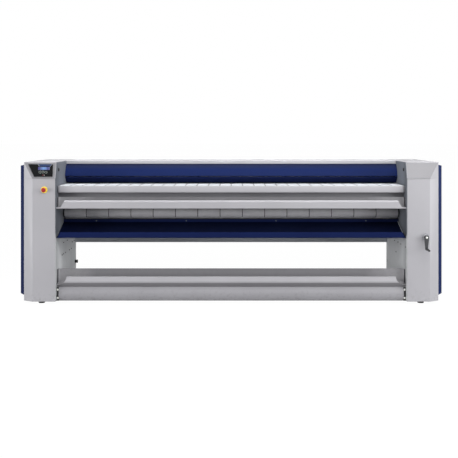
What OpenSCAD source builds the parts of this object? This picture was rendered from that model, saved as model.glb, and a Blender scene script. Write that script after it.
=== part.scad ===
// Flatwork ironer with front feed and front return, for sheets and table linen.
// The width runs along X, the front faces -Y, and the floor is at z = 0.
// A depth is measured back from the front plane of the columns, and a height from the floor.

/* [Columns] */
// Clear width between the two end frames
column_gap = 3420; // [3000:10:3800]
// Width of each column
column_width = 325; // [300:5:400]
// Depth of each column, front to back
column_depth = 1100; // [1090:5:1250]
// Height of the machine over its feet
machine_height = 1391; // [1391:1:1500]
// Sheet thickness of the column covers
shell_wall = 3; // [2:0.5:4]
// Thickness of the end frames
frame_wall = 12; // [10:1:16]
// Thickness of the base plates
base_wall = 10; // [8:1:14]
// Width of the bevel on the outer front edge
bevel_width = 96; // [80:1:105]
// Depth of the bevel, and of the lean of the head
bevel_depth = 60; // [50:1:65]
// Height of the leaning head
head_height = 162; // [150:1:175]

/* [Side covers] */
// How far a side cover stands out
side_out = 51; // [40:1:60]
// Depth at which a side cover starts
side_start = 140; // [120:5:180]
// Distance from a side cover to the back of the column
side_back = 90; // [60:5:140]
// Height of a side cover's lower edge
side_bottom = 62; // [50:1:80]
// Distance from a side cover's upper edge down from the top
side_top_gap = 24; // [20:1:40]
// Drop of the lower chamfer
side_low_chamfer = 27; // [20:1:40]
// Drop of the upper chamfer
side_high_chamfer = 13; // [10:1:30]

/* [Feet] */
// Height of the columns over the floor
foot_height = 31; // [28:1:40]
// Radius of a foot's pad
foot_radius = 31; // [25:1:40]
// Radius of a foot's stud
foot_stud_radius = 10; // [8:1:12]
// Distance from the front or back of a column to a foot
foot_inset = 120; // [80:5:200]

/* [Heated cylinder] */
// Radius of the heated cylinder
cylinder_radius = 240; // [236:1:242]
// Wall of the heated cylinder
cylinder_wall = 10; // [8:1:14]
// Cylinder's axis in front of the columns' back, mm
cylinder_back = 350; // [346:1:354]
// Cylinder's axis below the machine's top, mm
cylinder_drop = 391; // [387:1:393]
// Gap between the cylinder and each end frame
cylinder_end_gap = 14; // [12:1:30]
// Radius of the cylinder's journals
journal_radius = 45; // [42:1:50]
// Radius of the bore through the journals
journal_bore = 30; // [28:1:32]

/* [Ironing belts] */
// Number of ironing belts
belt_count = 15; // [9:1:21]
// Gap between neighbouring ironing belts
belt_gap = 6; // [4:1:10]
// Thickness of an ironing belt
belt_thick = 3; // [2:0.5:4]
// Radius of the exit and entry rollers
guide_radius = 44; // [42:1:46]
// Radius of the rear rollers
rear_roller_radius = 32; // [28:1:34]
// Radius of the roller shafts
shaft_radius = 15; // [12:1:16]

/* [Feed table] */
// Top of the feed belts below the machine's top, mm
table_drop = 233; // [231:1:241]
// Height of the feed table's front face
table_face = 69; // [66:1:75]
// Depth of the feed table's front face
table_front = 63; // [60:1:70]
// Number of feed belts
feed_count = 30; // [20:1:40]
// Width of the gap between feed belts
feed_gap = 12; // [8:1:16]
// Thickness of a feed belt
feed_thick = 2; // [1.5:0.5:3]
// Radius of the feed rollers
feed_radius = 26; // [22:1:27]

/* [Hand crank] */
// Crank's axis below the machine's top, mm
crank_drop = 729; // [711:1:751]
// Distance of the crank's axis from the end frame's inner face
crank_side = 183; // [178:1:190]
// Length of the crank arm, axis to grip
crank_arm = 112; // [90:1:130]
// How far the grip's tip reaches in front of the columns
crank_reach = 180; // [160:1:200]
// Radius of the crank's shaft
crank_shaft = 9; // [7:0.5:10]
// Radius of the grip
grip_radius = 10; // [9:0.5:12]

/* [Controls] */
// Emergency stop's axis below the machine's top, mm
stop_drop = 269; // [251:1:291]
// Distance of the emergency stop from the end frame's inner face
stop_side = 113; // [100:1:140]
// Radius of the emergency stop's red cap
stop_radius = 22.5; // [20:0.5:24]
// Travel of the emergency stop
stop_travel = 5; // [4:0.5:6]
// Radius of a panel button
button_radius = 13; // [11:0.5:13]
// Travel of a panel button
button_travel = 1.5; // [1:0.1:2]

/* [Exhaust] */
// Radius of the exhaust spigot
spigot_radius = 50; // [45:1:52]
// How far the exhaust spigot stands out at the back
spigot_out = 60; // [50:1:80]

/* [Fits] */
// Radial clearance of a running fit
running_fit = 0.05; // [0.03:0.01:0.08]
// Gap between pieces that pass each other
free_gap = 0.4; // [0.3:0.1:0.6]

/* [Hidden] */
$fn = 64;
// Overrun of every cut past the face that it opens
over = 1;

// Main planes
half_gap = column_gap / 2;
column_outer = half_gap + column_width;
machine_depth = crank_reach + column_depth + spigot_out;
front_y = crank_reach - machine_depth / 2;
head_bottom = machine_height - head_height;
cylinder_depth = column_depth - cylinder_back;
cylinder_height = machine_height - cylinder_drop;
table_height = machine_height - table_drop;
crank_height = machine_height - crank_drop;
stop_height = machine_height - stop_drop;
bevel_angle = atan2(bevel_depth, bevel_width);
head_lean = atan2(bevel_depth, head_height);
frame_outer = half_gap + frame_wall;

// Colours
light_grey = [0.70, 0.70, 0.72];
mid_grey = [0.60, 0.61, 0.63];
dark_grey = [0.30, 0.31, 0.33];
navy = [0.10, 0.13, 0.30];
steel = [0.75, 0.76, 0.78];
belt_white = [0.88, 0.88, 0.87];
belt_grey = [0.50, 0.50, 0.51];
black = [0.06, 0.06, 0.07];

// Cylinder and rollers, each as depth, height and radius
face_half = half_gap - cylinder_end_gap;
cylinder_axis = [cylinder_depth, cylinder_height];
entry_angle = 118;
entry_spacing = cylinder_radius + guide_radius + 2 * belt_thick;
entry_axis = cylinder_axis + entry_spacing * [cos(entry_angle), sin(entry_angle)];
exit_back = 370;
exit_drop = 134;
exit_axis = cylinder_axis - [exit_back, exit_drop];
rear_roller_in = 88;
rear_depth = column_depth - rear_roller_in;
rear_rise = 262;
rear_drop = 300;
upper_axis = [rear_depth, cylinder_height + rear_rise];
lower_axis = [rear_depth, cylinder_height - rear_drop];
feed_height = table_height - feed_thick - free_gap - feed_radius;
feed_front_gap = 12;
feed_front_depth = table_front + shell_wall + feed_front_gap + feed_thick + free_gap + feed_radius;
feed_rear_gap = 285;
feed_rear_depth = cylinder_depth - feed_rear_gap;
feed_front_axis = [feed_front_depth, feed_height];
feed_rear_axis = [feed_rear_depth, feed_height];
roller_axes = [entry_axis, exit_axis, upper_axis, lower_axis, feed_front_axis, feed_rear_axis];
belt_lift = 1;
roller_end_gap = 8;
roller_face = half_gap - roller_end_gap;
feed_end_gap = 12;
feed_face = half_gap - feed_end_gap;
roller_wall = 5;
bearing_radius = 38;
bearing_long = 16;
shaft_end = frame_outer + bearing_long + 2;
frame_hole = 2;

// Helpers

// Extrudes a profile of depth and height across the machine
module across(x0, x1) {
    translate([x0, front_y, 0])
        rotate([90, 0, 90])
            linear_extrude(height = x1 - x0)
                children();
}

// A round bar along X at a depth and a height
module bar_x(axis, x0, x1, radius) {
    translate([x0, front_y + axis[0], axis[1]])
        rotate([0, 90, 0])
            cylinder(h = x1 - x0, r = radius);
}

// A round bar along Y at a side and a height, between two depths
module bar_y(side, height, d0, d1, radius) {
    translate([side, front_y + d1, height])
        rotate([90, 0, 0])
            cylinder(h = d1 - d0, r = radius);
}

// A block between two sides, two depths and two heights
module block(x0, x1, d0, d1, z0, z1) {
    translate([x0, front_y + d0, z0])
        cube([x1 - x0, d1 - d0, z1 - z0]);
}

// Draws its children on the left as the mirror image of the right
module left_side() {
    mirror([1, 0, 0]) children();
}

module both_sides() {
    children();
    mirror([1, 0, 0]) children();
}

// Unit direction between two points
function direction(a, b) = (b - a) / norm(b - a);
// Left normal of a direction
function left_of(v) = [-v[1], v[0]];
// Direction into and out of a point of a line
function way_in(line, i) = i == 0 ? direction(line[0], line[1]) : direction(line[i - 1], line[i]);
function way_out(line, i) = i == len(line) - 1 ? way_in(line, i) : direction(line[i], line[i + 1]);
// Point i of a line moved to its left by a distance, with mitred corners
function stepped(line, i, distance) =
    let (a = left_of(way_in(line, i)), b = left_of(way_out(line, i)), m = a + b)
    line[i] + distance * 2 * m / (m * m);
function offset_line(line, distance) = [for (i = [0:len(line) - 1]) stepped(line, i, distance)];
function reversed(line) = [for (i = [len(line) - 1:-1:0]) line[i]];

// A sheet bent along a line of depths and heights, its thickness to the line's left
module bent_sheet(line, thick) {
    polygon(concat(line, reversed(offset_line(line, thick))));
}

// Points on a flat arc between two points, bulging to the right by a rise
function bulge(a, b, rise, steps) =
    [for (i = [0:steps]) let (t = i / steps)
        a + t * (b - a) - 4 * rise * t * (1 - t) * left_of(direction(a, b))];

// Points on a true arc
function arc_points(centre, radius, a0, a1, steps) =
    [for (i = [0:steps]) let (a = a0 + (a1 - a0) * i / steps) centre + radius * [cos(a), sin(a)]];

// Column

// Footprint inside the sheet of a column, from a first to a last depth
module inner_footprint(inset, from_depth, to_depth) {
    front_corner = inset * tan(bevel_angle / 2);
    side_corner = inset * tan((90 - bevel_angle) / 2);
    polygon([
        [0, from_depth],
        [column_width - bevel_width - front_corner, inset],
        [column_width - inset, bevel_depth + side_corner],
        [column_width - inset, to_depth],
        [0, to_depth]
    ]);
}

// Side profile inside the sheet of a column, as depths and heights
module inner_profile(inset, low, back) {
    low_corner = inset * tan(head_lean / 2);
    top_corner = inset * tan((90 - head_lean) / 2);
    polygon([
        [inset, low],
        [inset, head_bottom - low_corner],
        [bevel_depth + top_corner, machine_height - inset],
        [back, machine_height - inset],
        [back, low]
    ]);
}

module column_body(inset, low, back) {
    intersection() {
        translate([half_gap, front_y, low])
            linear_extrude(height = machine_height - low)
                inner_footprint(inset, inset, back);
        across(half_gap, column_outer) inner_profile(inset, low, back);
    }
}

// Opening behind a side cover
opening_inset = 30;
side_top = machine_height - side_top_gap;
side_end = column_depth - side_back;

module column_shell() {
    difference() {
        column_body(0, foot_height, column_depth);
        translate([-over, 0, 0]) cavity_block();
        column_cavity();
        block(
            column_outer - shell_wall - over, column_outer + over,
            side_start + opening_inset, side_end - opening_inset,
            side_bottom + opening_inset, side_top - opening_inset
        );
    }
}

// Room inside a column, open at the bottom and the back
module column_cavity() {
    intersection() {
        translate([half_gap, front_y, 0])
            linear_extrude(height = machine_height)
                inner_footprint(shell_wall, shell_wall, column_depth + over);
        across(half_gap - over, column_outer)
            inner_profile(shell_wall, foot_height - over, column_depth + over);
    }
}

// Clears the open inner side of a column, where the end frame stands
module cavity_block() {
    across(half_gap, half_gap + frame_wall)
        inner_profile(shell_wall, foot_height - over, column_depth + over);
}

// Bores through an end frame
lug_wide = 22;
lug_deep = 20;
lug_front = 36;
lug_low = 50;
lug_high = 165;
bolt_radius = 5;
bolt_heights = [62, 143];
bolt_in = 12;
fan_back = 220;
fan_depth = column_depth - fan_back;
fan_drop = 146;
fan_axis = [fan_depth, machine_height - fan_drop];
fan_inlet = 70;
plug_depth = 131;
plug_drop = 77;
plug_height = machine_height - plug_drop;
plug_radius = 12;
gland_radius = 14;
guard_front = 266;
guard_depth = cylinder_depth - guard_front;
guard_drop = 169;
guard_pivot = [guard_depth, machine_height - guard_drop];
guard_pin_radius = 6;
guard_pin_long = 26;
base_top = foot_height + base_wall;
beam_drop = 906;
beam_low = machine_height - beam_drop;
gland_back = 60;
gland_share = 0.53;
gland_depth = column_depth - gland_back;
gland_height = base_top + gland_share * (beam_low - base_top);

module end_frame(inlet_radius) {
    difference() {
        union() {
            across(half_gap, frame_outer)
                inner_profile(shell_wall, base_top, column_depth - shell_wall);
            block(
                half_gap - lug_wide, half_gap + over, lug_front, lug_front + lug_deep,
                lug_low, lug_high
            );
        }
        for (axis = roller_axes)
            bar_x(axis, half_gap - over, frame_outer + over, shaft_radius + frame_hole);
        bar_x(cylinder_axis, half_gap - over, frame_outer + over, journal_radius + 2 * frame_hole);
        bar_x([plug_depth, plug_height], half_gap - over, frame_outer + over, plug_radius);
        bar_x([gland_depth, gland_height], half_gap - over, frame_outer + over, gland_radius);
        bar_x(guard_pivot, half_gap - over, frame_outer + over, guard_pin_radius);
        for (height = bolt_heights)
            bar_y(
                half_gap - bolt_in, height, lug_front - over, lug_front + lug_deep + over,
                bolt_radius
            );
        bar_x(fan_axis, half_gap - over, frame_outer + over, inlet_radius);
    }
}

inlet_blank = 20;
module left_end_frame() {
    color(mid_grey) left_side() end_frame(fan_inlet);
}
module right_end_frame() {
    color(mid_grey) end_frame(inlet_blank);
}

// Emergency stop and crank holes in the front sheets
stop_barrel = 11;
escutcheon_barrel = 16;
module left_column_shell() {
    color(light_grey)
        left_side()
            difference() {
                column_shell();
                bar_y(half_gap + stop_side, stop_height, -over, shell_wall + over, stop_barrel);
            }
}
module right_column_shell() {
    color(light_grey)
        difference() {
            column_shell();
            bar_y(
                half_gap + crank_side, crank_height, -over, shell_wall + over, escutcheon_barrel
            );
        }
}

// A side cover is a raised tray with sloping upper and lower faces
module side_tray(inset) {
    translate([column_outer, front_y + side_end - inset, 0])
        rotate([90, 0, 0])
            linear_extrude(height = side_end - side_start - 2 * inset)
                polygon([
                    [inset > 0 ? -over : 0, side_bottom + inset],
                    [0, side_bottom + inset],
                    [side_out - inset, side_bottom + side_low_chamfer + inset],
                    [side_out - inset, side_top - side_high_chamfer - inset],
                    [0, side_top - inset],
                    [inset > 0 ? -over : 0, side_top - inset]
                ]);
}
module side_cover() {
    color(navy)
        difference() {
            side_tray(0);
            side_tray(shell_wall);
        }
}
module left_side_cover() {
    left_side() side_cover();
}
module right_side_cover() {
    side_cover();
}

// Rear covers with rows of louvre slots
slot_count = 9;
slot_pitch = 45;
slot_high = 8;
slot_low = 260;
slot_inset = 60;
spigot_side = 95;
spigot_step = 1.5;
spigot_stand = 4;
fan_height_offset = 62;
spigot_height = fan_axis[1] + fan_height_offset;
module rear_cover() {
    difference() {
        block(
            half_gap, column_outer - shell_wall, column_depth - shell_wall, column_depth,
            foot_height, machine_height - shell_wall
        );
        for (i = [0:slot_count - 1])
            block(
                half_gap + slot_inset, column_outer - slot_inset,
                column_depth - shell_wall - over, column_depth + over,
                slot_low + i * slot_pitch, slot_low + i * slot_pitch + slot_high
            );
    }
}
module rear_covers() {
    color(light_grey) {
        rear_cover();
        difference() {
            left_side() rear_cover();
            left_side()
                bar_y(
                    half_gap + spigot_side, spigot_height, column_depth - shell_wall - over,
                    column_depth + over, spigot_radius - spigot_step
                );
        }
    }
}

foot_side = column_width / 2;
foot_depths = [foot_inset, column_depth - foot_inset];
module base_plates() {
    color(dark_grey)
        both_sides()
            difference() {
                translate([half_gap, front_y, foot_height])
                    linear_extrude(height = base_wall)
                        inner_footprint(shell_wall, shell_wall, column_depth - shell_wall);
                for (depth = foot_depths)
                    translate([half_gap + foot_side, front_y + depth, foot_height - over])
                        cylinder(h = base_wall + 2 * over, r = foot_stud_radius);
            }
}

// Levelling feet: pad, stud and lock nut
pad_high = 12;
pad_edge = 4;
stud_top = 45;
nut_high = 12;
nut_radius = 17;
module levelling_foot() {
    rotate_extrude()
        polygon([
            [0, 0],
            [foot_radius, 0],
            [foot_radius, pad_high - pad_edge],
            [foot_radius - pad_edge, pad_high],
            [foot_stud_radius, pad_high],
            [foot_stud_radius, foot_height + base_wall + stud_top],
            [0, foot_height + base_wall + stud_top]
        ]);
}
module levelling_feet() {
    color(black)
        both_sides()
            for (depth = foot_depths)
                translate([half_gap + foot_side, front_y + depth, 0]) {
                    levelling_foot();
                    translate([0, 0, base_top])
                        difference() {
                            cylinder(h = nut_high, r = nut_radius, $fn = 6);
                            translate([0, 0, -over])
                                cylinder(h = nut_high + 2 * over, r = foot_stud_radius);
                        }
                }
}

// Hood, top cover and guard
lip_front_gap = 212;
lip_depth = cylinder_depth - lip_front_gap;
lip_drop = 32;
crease_front = 288;
crease_depth = cylinder_depth - crease_front;
crease_drop = 155;
crease = [crease_depth, machine_height - crease_drop];
hood_bulge = 13;
hood_steps = 8;
hood_hem = [14, -3];
guard_slot = 9;
guard_tip = [lip_depth, table_height + guard_slot];
module top_cover() {
    color(light_grey)
        across(-half_gap, half_gap)
            bent_sheet([
                [lip_depth, machine_height - lip_drop],
                [lip_depth, machine_height],
                [column_depth, machine_height]
            ], -shell_wall);
}
module hood_panel() {
    top = [lip_depth + shell_wall, machine_height - shell_wall];
    shoulder = [lip_depth + shell_wall, machine_height - lip_drop];
    color(navy)
        across(-half_gap, half_gap)
            bent_sheet(concat(
                [top],
                bulge(shoulder, crease, hood_bulge, hood_steps),
                [crease + hood_hem]
            ), shell_wall);
}

// Finger guard, hung at its upper edge
guard_ear = 4;
guard_boss = 9;
guard_side_gap = 1;
guard_high_offset = [-20, 4];
guard_high = guard_pivot + guard_high_offset;
guard_high_hem = [8, 5];
guard_low_hem = [14, 4];
module finger_guard() {
    color(navy)
        difference() {
            union() {
                across(-half_gap + guard_side_gap, half_gap - guard_side_gap)
                    bent_sheet(
                        [guard_high, guard_tip, guard_tip + guard_low_hem], shell_wall
                    );
                both_sides()
                    across(half_gap - guard_side_gap - guard_ear, half_gap - guard_side_gap)
                        polygon([
                            guard_high,
                            guard_tip,
                            guard_tip + guard_low_hem,
                            guard_pivot + [guard_boss, 0],
                            guard_high + guard_high_hem
                        ]);
                both_sides()
                    bar_x(
                        guard_pivot, half_gap - guard_side_gap - guard_ear,
                        half_gap - guard_side_gap, guard_boss
                    );
            }
            both_sides()
                bar_x(
                    guard_pivot, half_gap - guard_side_gap - guard_ear - over, half_gap + over,
                    guard_pin_radius + running_fit
                );
        }
}
module finger_guard_pins() {
    color(steel)
        both_sides()
            bar_x(guard_pivot, half_gap - guard_pin_long, frame_outer, guard_pin_radius);
}

// Back of the machine
beam_high = 60;
beam_deep = 50;
module rear_panel() {
    color(navy)
        block(
            -half_gap, half_gap, column_depth - 2 * shell_wall, column_depth - shell_wall,
            beam_low + beam_high, machine_height - shell_wall
        );
}
module rear_beam() {
    color(mid_grey)
        difference() {
            block(
                -half_gap, half_gap, column_depth - shell_wall - beam_deep,
                column_depth - shell_wall, beam_low, beam_low + beam_high
            );
            block(
                -half_gap - over, half_gap + over, column_depth - beam_deep,
                column_depth - 2 * shell_wall, beam_low + shell_wall,
                beam_low + beam_high - shell_wall
            );
        }
}

// Feed table
table_round = 12;
casing_back_gap = 6;
casing_back_high = 28;
casing_back = feed_rear_depth + feed_radius + feed_thick + free_gap + casing_back_gap;
table_low = table_height - table_face;
table_corner = 35;
// Plan of the casing inside its sheet, with round front corners
module casing_plan(inset) {
    centre = [half_gap - table_corner, table_front + table_corner];
    right = arc_points(centre, table_corner - inset, -90, 0, 8);
    translate([0, front_y])
        polygon(concat(
            [[half_gap - inset, casing_back]],
            reversed(right),
            [for (p = right) [-p[0], p[1]]],
            [[-half_gap + inset, casing_back]]
        ));
}
module casing_slice(low, high, inset) {
    translate([0, 0, low])
        linear_extrude(height = high - low)
            casing_plan(inset);
}
module feed_table_casing() {
    casing_top = table_height - feed_thick;
    color(light_grey)
        difference() {
            union() {
                intersection() {
                    casing_slice(table_low, casing_top, 0);
                    across(-half_gap, half_gap)
                        bent_sheet(concat(
                            [[table_front, casing_top]],
                            arc_points(
                                [table_front + table_round, table_low + table_round],
                                table_round, 180, 270, 4
                            ),
                            [[casing_back, table_low], [casing_back, table_low + casing_back_high]]
                        ), shell_wall);
                }
                intersection() {
                    difference() {
                        casing_slice(table_low + table_round, casing_top, 0);
                        casing_slice(table_low, casing_top + over, shell_wall);
                    }
                    block(
                        -half_gap, half_gap, table_front, table_front + table_corner,
                        table_low, casing_top
                    );
                }
            }
            bar_x(feed_front_axis, -half_gap - over, half_gap + over, shaft_radius + frame_hole);
        }
}

bed_gap = 4;
bed_rib_high = 26;
bed_rib_wide = 40;
bed_top = table_height - feed_thick - free_gap;
module feed_bed() {
    front = feed_front_depth + feed_radius + bed_gap;
    back = feed_rear_depth - feed_radius - bed_gap;
    color(steel) {
        difference() {
            union() {
                block(-half_gap, half_gap, front, back, bed_top - shell_wall, bed_top);
                for (edge = [front, back - bed_rib_wide])
                    block(
                        -half_gap, half_gap, edge, edge + bed_rib_wide,
                        bed_top - bed_rib_high, bed_top - shell_wall
                    );
            }
            for (edge = [front, back - bed_rib_wide])
                block(
                    -half_gap - over, half_gap + over, edge + shell_wall,
                    edge + bed_rib_wide - shell_wall, bed_top - bed_rib_high + shell_wall,
                    bed_top - shell_wall
                );
        }
    }
}

// Belt paths. A wheel is its axis and its signed radius, positive where the loop goes round it
// and negative where the wheel presses on the loop from outside.
function leave_angle(a, b) =
    let (d = [b[0] - a[0], b[1] - a[1]], reach = norm(d))
    atan2(d[1], d[0]) + asin((a[2] - b[2]) / reach);
function turn(from, to, sign) =
    let (sweep = (sign * (to - from) % 360 + 720) % 360)
    sign * sweep;
function wheel_points(before, wheel, after, arc_step) =
    let (
        a0 = leave_angle(before, wheel),
        sweep = turn(a0, leave_angle(wheel, after), wheel[2] > 0 ? 1 : -1),
        steps = max(1, ceil(abs(sweep) / arc_step))
    )
    [for (i = [0:steps]) let (a = a0 + sweep * i / steps)
        [wheel[0], wheel[1]] + wheel[2] * [sin(a), -cos(a)]];
function belt_line(wheels, arc_step) =
    let (n = len(wheels))
    [for (i = [0:n - 1])
        each wheel_points(wheels[(i + n - 1) % n], wheels[i], wheels[(i + 1) % n], arc_step)];
function wheel(axis, radius) = [axis[0], axis[1], radius];

// A closed belt round wheels, its thickness on the outer side
module belt_loop(wheels, thick, arc_step) {
    difference() {
        polygon(belt_line([for (w = wheels) [w[0], w[1], w[2] + thick]], arc_step));
        polygon(belt_line(wheels, arc_step));
    }
}

module feed_belts() {
    pitch = 2 * face_half / feed_count;
    wheels = [
        wheel(feed_rear_axis, feed_radius + free_gap),
        wheel(feed_front_axis, feed_radius + free_gap)
    ];
    color(belt_white)
        for (i = [0:feed_count - 1])
            across(
                -face_half + i * pitch + feed_gap / 2,
                -face_half + (i + 1) * pitch - feed_gap / 2
            )
                belt_loop(wheels, feed_thick, 18);
}

module ironing_belts() {
    pitch = 2 * face_half / belt_count;
    wheels = [
        wheel(exit_axis, guide_radius + free_gap),
        wheel(lower_axis, rear_roller_radius + free_gap),
        wheel(upper_axis, rear_roller_radius + free_gap),
        wheel(entry_axis, guide_radius + free_gap),
        wheel(cylinder_axis, -cylinder_radius - belt_lift - belt_thick)
    ];
    color(belt_grey)
        for (i = [0:belt_count - 1])
            across(
                -face_half + i * pitch + belt_gap / 2,
                -face_half + (i + 1) * pitch - belt_gap / 2
            )
                belt_loop(wheels, belt_thick, 9);
}

// Rollers, bearings and cylinder
module roller(axis, radius, face) {
    color(steel) {
        difference() {
            bar_x(axis, -face, face, radius);
            bar_x(axis, -face + 2 * roller_wall, face - 2 * roller_wall, radius - roller_wall);
        }
        both_sides()
            bar_x(axis, face, shaft_end, shaft_radius);
    }
}
module entry_roller() {
    roller(entry_axis, guide_radius, roller_face);
}
module exit_roller() {
    roller(exit_axis, guide_radius, roller_face);
}
module rear_lower_roller() {
    roller(lower_axis, rear_roller_radius, roller_face);
}
module rear_upper_roller() {
    roller(upper_axis, rear_roller_radius, roller_face);
}
module feed_front_roller() {
    roller(feed_front_axis, feed_radius, feed_face);
}
module feed_rear_roller() {
    roller(feed_rear_axis, feed_radius, feed_face);
}

module roller_bearings() {
    color(dark_grey)
        for (axis = roller_axes)
            difference() {
                bar_x(axis, frame_outer, frame_outer + bearing_long, bearing_radius);
                bar_x(
                    axis, frame_outer - over, frame_outer + bearing_long + over,
                    shaft_radius + running_fit
                );
            }
}
module roller_bearings_left() {
    left_side() roller_bearings();
}
module roller_bearings_right() {
    roller_bearings();
}

module ironing_cylinder() {
    color(steel)
        difference() {
            bar_x(cylinder_axis, -face_half, face_half, cylinder_radius);
            bar_x(
                cylinder_axis, -face_half - over, face_half + over,
                cylinder_radius - cylinder_wall
            );
        }
}

end_disc_in = 60;
end_disc_thick = 25;
hub_radius = 80;
hub_out = 8;
bearing_face = 190;
bearing_plate = 18;
bearing_boss = 75;
bearing_out = 68;
journal_out_left = 90;
journal_out_right = 118;
module cylinder_end(journal_out) {
    color(steel)
        difference() {
            union() {
                bar_x(
                    cylinder_axis, face_half - end_disc_in,
                    face_half - end_disc_in + end_disc_thick, cylinder_radius - cylinder_wall
                );
                bar_x(cylinder_axis, face_half - end_disc_in, face_half + hub_out, hub_radius);
                bar_x(
                    cylinder_axis, face_half + hub_out, frame_outer + journal_out, journal_radius
                );
            }
            bar_x(
                cylinder_axis, face_half - end_disc_in - over, frame_outer + journal_out + over,
                journal_bore
            );
        }
}
module cylinder_end_left() {
    left_side() cylinder_end(journal_out_left);
}
module cylinder_end_right() {
    cylinder_end(journal_out_right);
}

module cylinder_bearings() {
    color(dark_grey)
        both_sides()
            difference() {
                union() {
                    block(
                        frame_outer, frame_outer + bearing_plate,
                        cylinder_depth - bearing_face / 2, cylinder_depth + bearing_face / 2,
                        cylinder_height - bearing_face / 2, cylinder_height + bearing_face / 2
                    );
                    bar_x(cylinder_axis, frame_outer, frame_outer + bearing_out, bearing_boss);
                }
                bar_x(
                    cylinder_axis, frame_outer - over, frame_outer + bearing_out + over,
                    journal_radius + running_fit
                );
            }
}

// Electric heating, held still on a tube that passes through the hollow journals
element_count = 6;
element_radius = 8;
element_circle = 165;
element_end_gap = 95;
spider_radius = 190;
spider_thick = 6;
spider_inset = 200;
carrier_play = 3;
carrier_bush = 40;
arm_thick = 10;
arm_wide = 30;
arm_drop = 140;
function element_axis(i) =
    cylinder_axis
    + element_circle * [cos(360 * i / element_count), sin(360 * i / element_count)];
module heating_elements() {
    color(dark_grey)
        for (i = [0:element_count - 1])
            bar_x(
                element_axis(i), -face_half + element_end_gap, face_half - element_end_gap,
                element_radius
            );
}
module heater_carrier() {
    tube = journal_bore - carrier_play;
    left_end = -frame_outer - journal_out_left;
    color(steel)
        difference() {
            union() {
                bar_x(cylinder_axis, left_end - arm_thick, face_half, tube);
                bar_x(cylinder_axis, left_end, left_end + carrier_bush, journal_bore - running_fit);
                bar_x(
                    cylinder_axis, face_half - carrier_bush, face_half,
                    journal_bore - running_fit
                );
                for (x = [-face_half + spider_inset, 0, face_half - spider_inset])
                    bar_x(cylinder_axis, x - spider_thick / 2, x + spider_thick / 2, spider_radius);
                block(
                    left_end - arm_thick, left_end - free_gap,
                    cylinder_depth - arm_wide / 2, cylinder_depth + arm_wide / 2,
                    cylinder_height - arm_drop, cylinder_height + arm_wide / 2
                );
                block(
                    left_end - arm_thick, -frame_outer,
                    cylinder_depth - arm_wide / 2, cylinder_depth + arm_wide / 2,
                    cylinder_height - arm_drop, cylinder_height - arm_drop + arm_wide
                );
            }
            for (i = [0:element_count - 1])
                bar_x(element_axis(i), -face_half, face_half, element_radius);
            bar_x(
                cylinder_axis, left_end - arm_thick - over, face_half + over,
                tube - roller_wall
            );
        }
}

// Strippers that lift the linen off the cylinder
stripper_front = 250;
stripper_drop = 95;
stripper_axis = cylinder_axis - [stripper_front, stripper_drop];
stripper_radius = 12;
finger_count = 16;
finger_wide = 20;
finger_ring = 18;
finger_angle = 218;
finger_gap = 0.5;
finger_back = [-4, -12];
finger_top = [12, 4];
module stripper_bar() {
    color(steel) bar_x(stripper_axis, -half_gap, half_gap, stripper_radius);
}
module stripper_fingers() {
    pitch = 2 * face_half / finger_count;
    tip = cylinder_axis
        + (cylinder_radius + finger_gap) * [cos(finger_angle), sin(finger_angle)];
    color(dark_grey)
        for (i = [0:finger_count - 1])
            let (x = -face_half + (i + 0.5) * pitch - finger_wide / 2)
                difference() {
                    union() {
                        bar_x(stripper_axis, x, x + finger_wide, finger_ring);
                        across(x, x + finger_wide)
                            polygon([
                                stripper_axis + finger_back, tip, stripper_axis + finger_top
                            ]);
                    }
                    bar_x(stripper_axis, x - over, x + finger_wide + over, stripper_radius);
                }
}

// Troughs, return pan and lower panel

// Rolled hem at the front of a lip, from its inner side over the top to its face
function hem(front, top, radius) =
    arc_points([front + radius, top - radius], radius, 0, 180, 6);
// Rounded corners of a bent sheet, at the foot of its face and at the foot of its back
function front_corner(front, low, radius) =
    arc_points([front + radius, low + radius], radius, 180, 270, 4);
function back_corner(back, low, radius) =
    arc_points([back, low + radius], radius, 270, 350, 4);

trough_back = 130;
trough_floor_back = 92;
trough_corner = 30;
trough_hem = 10;
upper_drop = 71;
upper_high = 82;
upper_rear_rise = 25;
upper_top = table_low - upper_drop;
upper_low = upper_top - upper_high;
upper_rear_top = upper_top + upper_rear_rise;
flap_top_front = 8;
flap_low_front = 4;
flap_corner = 12;
flap_foot_up = 14;
flap_foot = upper_low + flap_foot_up;
flap_slant_low = 35;
flap_slant_high = 82;
module upper_trough() {
    line = concat(
        hem(flap_top_front, upper_top, trough_hem),
        front_corner(flap_low_front, upper_low, flap_corner),
        back_corner(trough_floor_back, upper_low, trough_corner),
        [[trough_back, upper_rear_top]]
    );
    color(light_grey)
        difference() {
            across(-half_gap, half_gap) bent_sheet(line, shell_wall);
            both_sides()
                translate([0, front_y + trough_back / 3, 0])
                    rotate([90, 0, 0])
                        linear_extrude(height = trough_back)
                            polygon([
                                [half_gap - flap_slant_high, upper_top + over],
                                [half_gap - flap_slant_low, flap_foot],
                                [half_gap + over, flap_foot],
                                [half_gap + over, upper_top + over]
                            ]);
        }
}

pan_drop = 158;
pan_lip_high = 58;
pan_lip = exit_axis[1] - pan_drop;
pan_low = pan_lip - pan_lip_high;
pan_face = 3;
pan_hem = 7;
pan_corner = 11;
pan_flat_back = 43;
pan_floor_past = 17;
pan_floor_rise = 116;
pan_back_past = 20;
pan_back_high = 34;
pan_floor_back = [exit_axis[0] + pan_floor_past, pan_low + pan_floor_rise];
pan_back_top = [exit_axis[0] + pan_back_past, pan_floor_back[1] + pan_back_high];
module return_pan() {
    line = concat(
        hem(pan_face, pan_lip, pan_hem),
        front_corner(pan_face, pan_low, pan_corner),
        [[pan_flat_back, pan_low], pan_floor_back, pan_back_top]
    );
    color(navy) across(-half_gap, half_gap) bent_sheet(line, shell_wall);
}

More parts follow.
